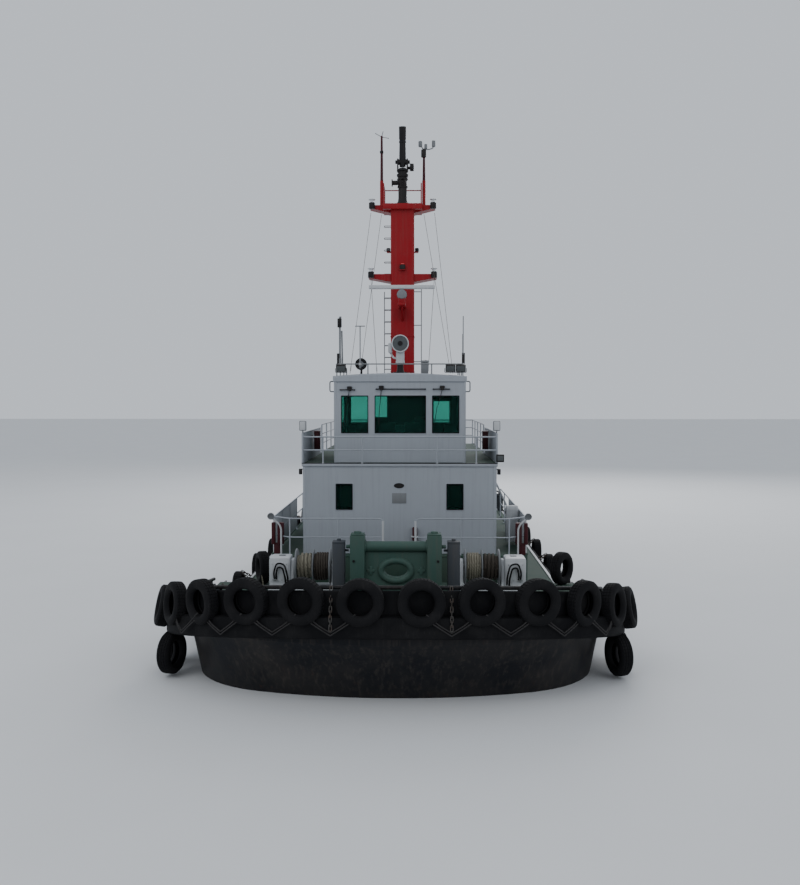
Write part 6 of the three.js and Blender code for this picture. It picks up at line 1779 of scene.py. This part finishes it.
def build_after_fittings():
    """Hatches, ventilators, louvres, a door and a ladder abaft the deckhouse."""
    fittings = Piece("after_fittings")
    # Columns: X, Y, half side, deck
    for x, y, half, deck in ((-6.5, 1.45, 0.45, TRUNK_Z), (-6.5, -1.45, 0.45, TRUNK_Z), (-11.9, 2.7, 0.36, MAIN_DECK_Z),
                             (-11.9, -2.7, 0.36, MAIN_DECK_Z)):
        lid, rim = deck + 0.24, half + 0.04
        fittings.block((x - half, y - half, deck), (x + half, y + half, lid), "deck_green", bevel=0.02)
        fittings.block((x - rim, y - rim, lid), (x + rim, y + rim, lid + 0.05), "gear_green", bevel=0.015)
        fittings.rod((x, y, lid + 0.05), (x, y, lid + 0.13), 0.03, "steel", 16)
        fittings.turned([(0.115, 0.12), (0.13, 0.105), (0.145, 0.12), (0.13, 0.135)], (x, y, lid), Z_AXIS, "dark_fitting",
                        28)
        fittings.rod((x - 0.12, y, lid + 0.12), (x + 0.12, y, lid + 0.12), 0.012, "dark_fitting", 8)
        fittings.rod((x, y - 0.12, lid + 0.12), (x, y + 0.12, lid + 0.12), 0.012, "dark_fitting", 8)
        for step in (-0.5, 0.5):
            fittings.rod((x - rim - 0.02, y + half * step - 0.06, lid + 0.02), (x - rim - 0.02, y + half * step + 0.06,
                                                                                lid + 0.02), 0.025, "steel", 12)
    for x, y in ((-5.0, 2.3), (-5.0, -2.3), (-7.7, 2.3), (-7.7, -2.3)):
        fittings.turned([(0.17, 0.0), (0.17, 0.02), (0.11, 0.03), (0.11, 0.50), (0.23, 0.46), (0.24, 0.50), (0.235, 0.54),
                         (0.16, 0.62), (0.0, 0.65)], (x, y, TRUNK_Z), Z_AXIS, "gear_green", 32)
    wall = HOUSE_LOW.x
    for _, side in SIDES:
        fittings.take(frame_part(on_back(wall), (side * 1.9, 3.25), 0.45, 0.36, 0.02, 0.05, 0.03), "white_paint")
        for i in range(8):
            z = 2.94 + 0.085 * i
            fittings.plate([(wall + 0.005, side * 1.9 - 0.43, z), (wall + 0.005, side * 1.9 + 0.43, z),
                            (wall - 0.045, side * 1.9 + 0.43, z - 0.04), (wall - 0.045, side * 1.9 - 0.43, z - 0.04)],
                           (0, 0, 0.01), "white_paint")
        fittings.pipe([(wall - 0.02, 0.78 + side * 0.22, TRUNK_Z), (wall - 0.16, 0.78 + side * 0.22, TRUNK_Z),
                       (wall - 0.16, 0.78 + side * 0.22, 3.9), (wall, 0.78 + side * 0.22, 3.9)], 0.022, "light_grey", 10,
                      bend=0.05)
    for i in range(6):
        z = TRUNK_Z + 0.30 + 0.32 * i
        fittings.rod((wall - 0.16, 0.56, z), (wall - 0.16, 1.0, z), 0.015, "light_grey", 8)
    fittings.block((wall - 0.035, -0.75, TRUNK_Z + 0.22), (wall + 0.01, 0.0, 3.92), "white_paint", bevel=0.02)
    for z in (2.2, 2.95, 3.7):
        fittings.rod((wall - 0.05, -0.05, z - 0.07), (wall - 0.05, -0.05, z + 0.07), 0.02, "steel", 12)
        fittings.rod((wall - 0.06, -0.72, z), (wall - 0.06, -0.58, z), 0.014, "steel", 10)
    fittings.done(ROOT)


def build_stern_drives():
    """The stern drives with their nozzles, and bronze propellers with twisted blades."""
    x, y0, z = -12.4, 2.3, -2.7
    for name, side in SIDES:
        y = side * y0
        drive = Piece(f"{name}_drive_leg")
        drive.turned([(0.0, 0.0), (0.38, 0.0), (0.36, 1.05), (0.42, 1.25), (0.69, 1.31), (0.70, 1.4495), (0.0, 1.4495)],
                     (x, y, z), Z_AXIS, "bottom_red", 36)
        drive.turned([(0.0, -0.4795), (0.16, -0.4795), (0.24, -0.44), (0.325, -0.36), (0.33, -0.20), (0.30, 0.10),
                      (0.22, 0.45), (0.12, 0.60), (0.0, 0.62)], (x, y, z), X_AXIS, "bottom_red", 36)
        drive.turned([(1.22, -0.42), (1.26, -0.425), (1.30, -0.40), (1.325, 0.0), (1.33, 0.34), (1.27, 0.42),
                      (1.16, 0.40), (1.13, 0.30), (1.165, 0.10), (1.19, -0.10)], (x - 0.76, y, z), X_AXIS,
                     "bottom_red", 64)
        for low, high in ((0.30, 1.27), (-1.27, -0.23)):
            drive.block((x - 0.47, y - 0.05, z + low), (x + 0.10, y + 0.05, z + high), "bottom_red", bevel=0.03)
        drive.done(f"{name}_drive", [f"{name}_drive"])
        build_propeller(name, Vector((x - 0.68, y, z)))


def build_propeller(name, centre):
    """A four-bladed propeller: each blade is a grid that narrows and untwists to its tip."""
    propeller = Piece(f"{name}_propeller_casting")
    propeller.turned([(0.0, -0.20), (0.12, -0.20), (0.18, -0.12), (0.215, 0.05), (0.22, 0.18), (0.20, 0.20),
                      (0.0, 0.20)], centre, X_AXIS, "bronze", 36)
    # Columns: distance from the shaft, half chord, half thickness, twist in radians
    stations = ((0.15, 0.20, 0.030, 0.95), (0.30, 0.26, 0.026, 0.85), (0.50, 0.30, 0.020, 0.70),
                (0.72, 0.31, 0.014, 0.58), (0.92, 0.25, 0.010, 0.50), (1.03, 0.14, 0.006, 0.46),
                (1.075, 0.03, 0.003, 0.45))
    for quarter in range(4):
        turn = Matrix.Translation(centre) @ Matrix.Rotation(quarter * math.pi / 2, 4, "X")
        rows = []
        for out, chord, thick, twist in stations:
            ring = []
            for i in range(16):
                angle = math.tau * i / 16
                u, v = chord * math.cos(angle), thick * math.sin(angle)
                ring.append(turn @ Vector((v * math.sin(twist) + u * math.cos(twist) * 0.55,
                                           u * math.sin(twist) - v * math.cos(twist), out)))
            rows.append(ring)
        propeller.take(draped_part(rows), "bronze")
    propeller.done(f"{name}_propeller", [f"{name}_propeller"])


# Stage

def build_stage():
    """The floor at the waterline, the soft lights and the camera."""
    floor = bmesh.new()
    bmesh.ops.create_grid(floor, x_segments=8, y_segments=8, size=260.0)
    data = bpy.data.meshes.new("studio_floor")
    floor.to_mesh(data)
    floor.free()
    data.materials.append(FINISHES["studio_floor"])
    ground = bpy.data.objects.new("studio_floor", data)
    bpy.context.scene.collection.objects.link(ground)
    ground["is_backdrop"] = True
    world = bpy.data.worlds.new("studio_sky")
    world.use_nodes = True
    sky = world.node_tree.nodes["Background"]
    sky.inputs["Color"].default_value = (0.78, 0.83, 0.90, 1.0)
    sky.inputs["Strength"].default_value = 0.85
    bpy.context.scene.world = world
    # Columns: name, place, aim, size, power
    lamps = (("key_light", (38.0, -22.0, 34.0), (4.0, 0.0, 4.0), 26.0, 3600.0),
             ("fill_light", (40.0, 26.0, 22.0), (4.0, 0.0, 4.0), 24.0, 1600.0),
             ("back_light", (-34.0, 10.0, 30.0), (0.0, 0.0, 4.0), 26.0, 9000.0))
    for name, place, aim, size, power in lamps:
        light = bpy.data.lights.new(name, "AREA")
        light.shape = "SQUARE"
        light.size = size
        light.energy = power
        lamp = bpy.data.objects.new(name, light)
        lamp.location = place
        lamp.rotation_euler = (Vector(aim) - Vector(place)).to_track_quat("-Z", "Y").to_euler()
        bpy.context.scene.collection.objects.link(lamp)
        lamp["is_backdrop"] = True
    lens = bpy.data.cameras.new("photo_camera")
    lens.sensor_fit = "HORIZONTAL"
    lens.sensor_width = 36.0
    lens.lens = 45.0
    lens.clip_end = 1000.0
    camera = bpy.data.objects.new("photo_camera", lens)
    camera.location = (35.8, 0.55, 6.2)
    yaw, pitch = math.radians(1.1), math.atan(0.0445)
    aim = Vector((-math.cos(yaw) * math.cos(pitch), -math.sin(yaw) * math.cos(pitch), -math.sin(pitch)))
    camera.rotation_euler = aim.to_track_quat("-Z", "Y").to_euler()
    bpy.context.scene.collection.objects.link(camera)
    bpy.context.scene.camera = camera


# Add-on: sizes, colours, operators and panel

class TugSizes(bpy.types.PropertyGroup):
    """Sizes that a user may change before the pieces are built."""

    tyre_radius: bpy.props.FloatProperty(
        name="Tyre radius", description="Outer radius of the hung tyres", default=0.473, unit="LENGTH")
    tyre_bore: bpy.props.FloatProperty(
        name="Tyre bore", description="Radius of the hole in the hung tyres", default=0.255, unit="LENGTH")
    tyre_width: bpy.props.FloatProperty(
        name="Tyre width", description="Width of the hung tyres along the axle", default=0.30, unit="LENGTH")
    chain_link: bpy.props.FloatProperty(
        name="Chain link", description="Length of one link of fender chain", default=0.09, unit="LENGTH")
    cap_radius: bpy.props.FloatProperty(
        name="Bulwark rail", description="Radius of the round rail on the bulwarks", default=0.042, unit="LENGTH")
    rail_gap: bpy.props.FloatProperty(
        name="Bulwark gap", description="From the bulwark's plating to the top of its rail", default=0.16,
        unit="LENGTH")
    rail_radius: bpy.props.FloatProperty(
        name="Rail radius", description="Radius of the guard rails' top bars", default=0.021, unit="LENGTH")
    frame_width: bpy.props.FloatProperty(
        name="Window rim", description="Width of the raised rims round the windows", default=0.022,
        unit="LENGTH")


class TugColours(bpy.types.PropertyGroup):
    """Paint colours that a user may change before the materials are built."""

    hull: bpy.props.FloatVectorProperty(
        name="Hull", description="Paint above the waterline", default=(0.009, 0.010, 0.013), size=3,
        subtype="COLOR", min=0.0, max=1.0)
    # The walls' default is white paint darkened and turned bluish: painted shade
    walls: bpy.props.FloatVectorProperty(
        name="Walls", description="Paint of the deckhouse and wheelhouse", default=(0.33, 0.355, 0.39), size=3,
        subtype="COLOR", min=0.0, max=1.0)
    mast: bpy.props.FloatVectorProperty(
        name="Mast", description="Paint of the mast and funnels", default=(0.27, 0.004, 0.010), size=3,
        subtype="COLOR", min=0.0, max=1.0)
    gear: bpy.props.FloatVectorProperty(
        name="Towing gear", description="Paint of the bitts and the capstan", default=(0.048, 0.096, 0.080), size=3,
        subtype="COLOR", min=0.0, max=1.0)


class TUG_OT_materials(bpy.types.Operator):
    """Makes the paints, rubbers, metals, ropes and glass"""
    bl_idname = "tug.materials"
    bl_label = "Materials"

    def execute(self, context):
        colours = context.scene.tug_colours
        build_materials({"hull_black": tuple(colours.hull), "white_paint": tuple(colours.walls),
                         "mast_red": tuple(colours.mast), "gear_green": tuple(colours.gear)})
        return {"FINISHED"}


class TUG_OT_hull(bpy.types.Operator):
    """Builds the hull plating and the bulwarks"""
    bl_idname = "tug.hull"
    bl_label = "Hull and bulwarks"

    def execute(self, context):
        build_hull()
        build_bulwarks(context.scene.tug_sizes)
        return {"FINISHED"}


class TUG_OT_bow_fender(bpy.types.Operator):
    """Builds the bow's rubber belt with its tyres and lashings"""
    bl_idname = "tug.bow_fender"
    bl_label = "Bow fender"

    def execute(self, context):
        build_bow_fender(context.scene.tug_sizes)
        build_bow_lashings(context.scene.tug_sizes)
        return {"FINISHED"}


class TUG_OT_side_fenders(bpy.types.Operator):
    """Builds the belts and tyres along the sides and round the stern"""
    bl_idname = "tug.side_fenders"
    bl_label = "Side and stern fenders"

    def execute(self, context):
        build_side_fenders(context.scene.tug_sizes)
        return {"FINISHED"}


class TUG_OT_foredeck(bpy.types.Operator):
    """Builds the bitt, posts, winches and spare tyres"""
    bl_idname = "tug.foredeck"
    bl_label = "Foredeck gear"

    def execute(self, context):
        sizes = context.scene.tug_sizes
        build_bow_bitt(sizes)
        build_bow_posts()
        build_winches(sizes)
        build_foredeck_gear(sizes)
        return {"FINISHED"}


class TUG_OT_houses(bpy.types.Operator):
    """Builds the trunk, deckhouse, bridge deck, wheelhouse, roof and doors"""
    bl_idname = "tug.houses"
    bl_label = "Houses"

    def execute(self, context):
        sizes = context.scene.tug_sizes
        build_trunk()
        build_deck_rails(sizes)
        build_deckhouse(sizes)
        build_bridge_deck(sizes)
        build_wheelhouse(sizes)
        build_wheelhouse_roof(sizes)
        build_doors()
        return {"FINISHED"}


class TUG_OT_mast(bpy.types.Operator):
    """Builds the mast, its stays, the radar and the fire monitor"""
    bl_idname = "tug.mast"
    bl_label = "Mast"

    def execute(self, context):
        build_mast(context.scene.tug_sizes)
        build_stays()
        build_radar()
        build_monitor()
        return {"FINISHED"}


class TUG_OT_roof_gear(bpy.types.Operator):
    """Builds the searchlight, roof rail, aerials and horn"""
    bl_idname = "tug.roof_gear"
    bl_label = "Roof gear"

    def execute(self, context):
        build_searchlight()
        build_roof_gear(context.scene.tug_sizes)
        return {"FINISHED"}


class TUG_OT_after_part(bpy.types.Operator):
    """Builds the funnels, liferafts, after deck gear and stern drives"""
    bl_idname = "tug.after_part"
    bl_label = "After part"

    def execute(self, context):
        build_funnels()
        build_liferafts()
        build_after_deck(context.scene.tug_sizes)
        build_after_fittings()
        build_stern_drives()
        return {"FINISHED"}


class TUG_OT_stage(bpy.types.Operator):
    """Builds the floor at the waterline, the lights and the camera"""
    bl_idname = "tug.stage"
    bl_label = "Stage"

    def execute(self, context):
        build_stage()
        return {"FINISHED"}


OPERATORS = (TUG_OT_materials, TUG_OT_hull, TUG_OT_bow_fender, TUG_OT_side_fenders, TUG_OT_foredeck, TUG_OT_houses,
             TUG_OT_mast, TUG_OT_roof_gear, TUG_OT_after_part, TUG_OT_stage)


class TUG_PT_panel(bpy.types.Panel):
    """Lists the sizes, the colours and the operators in the order in which they run"""
    bl_idname = "TUG_PT_panel"
    bl_label = "Harbour Tug"
    bl_space_type = "VIEW_3D"
    bl_region_type = "UI"
    bl_category = "Tug"

    def draw(self, context):
        for group in (context.scene.tug_sizes, context.scene.tug_colours):
            for name in group.__annotations__:
                self.layout.prop(group, name)
        for operator in OPERATORS:
            self.layout.operator(operator.bl_idname)


CLASSES = (TugSizes, TugColours, *OPERATORS, TUG_PT_panel)


def register():
    for item in CLASSES:
        bpy.utils.register_class(item)
    bpy.types.Scene.tug_sizes = bpy.props.PointerProperty(type=TugSizes)
    bpy.types.Scene.tug_colours = bpy.props.PointerProperty(type=TugColours)


def unregister():
    del bpy.types.Scene.tug_colours
    del bpy.types.Scene.tug_sizes
    for item in reversed(CLASSES):
        bpy.utils.unregister_class(item)


def main():
    """Registers the add-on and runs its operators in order."""
    register()
    for operator in OPERATORS:
        prefix, name = operator.bl_idname.split(".")
        getattr(getattr(bpy.ops, prefix), name)()
    {"cad": plain(CAD_BOX), "visual": plain(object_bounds())}


def plain(box):
    return [[float(value) for value in corner] for corner in box]


if __name__ == "__main__":
    main()
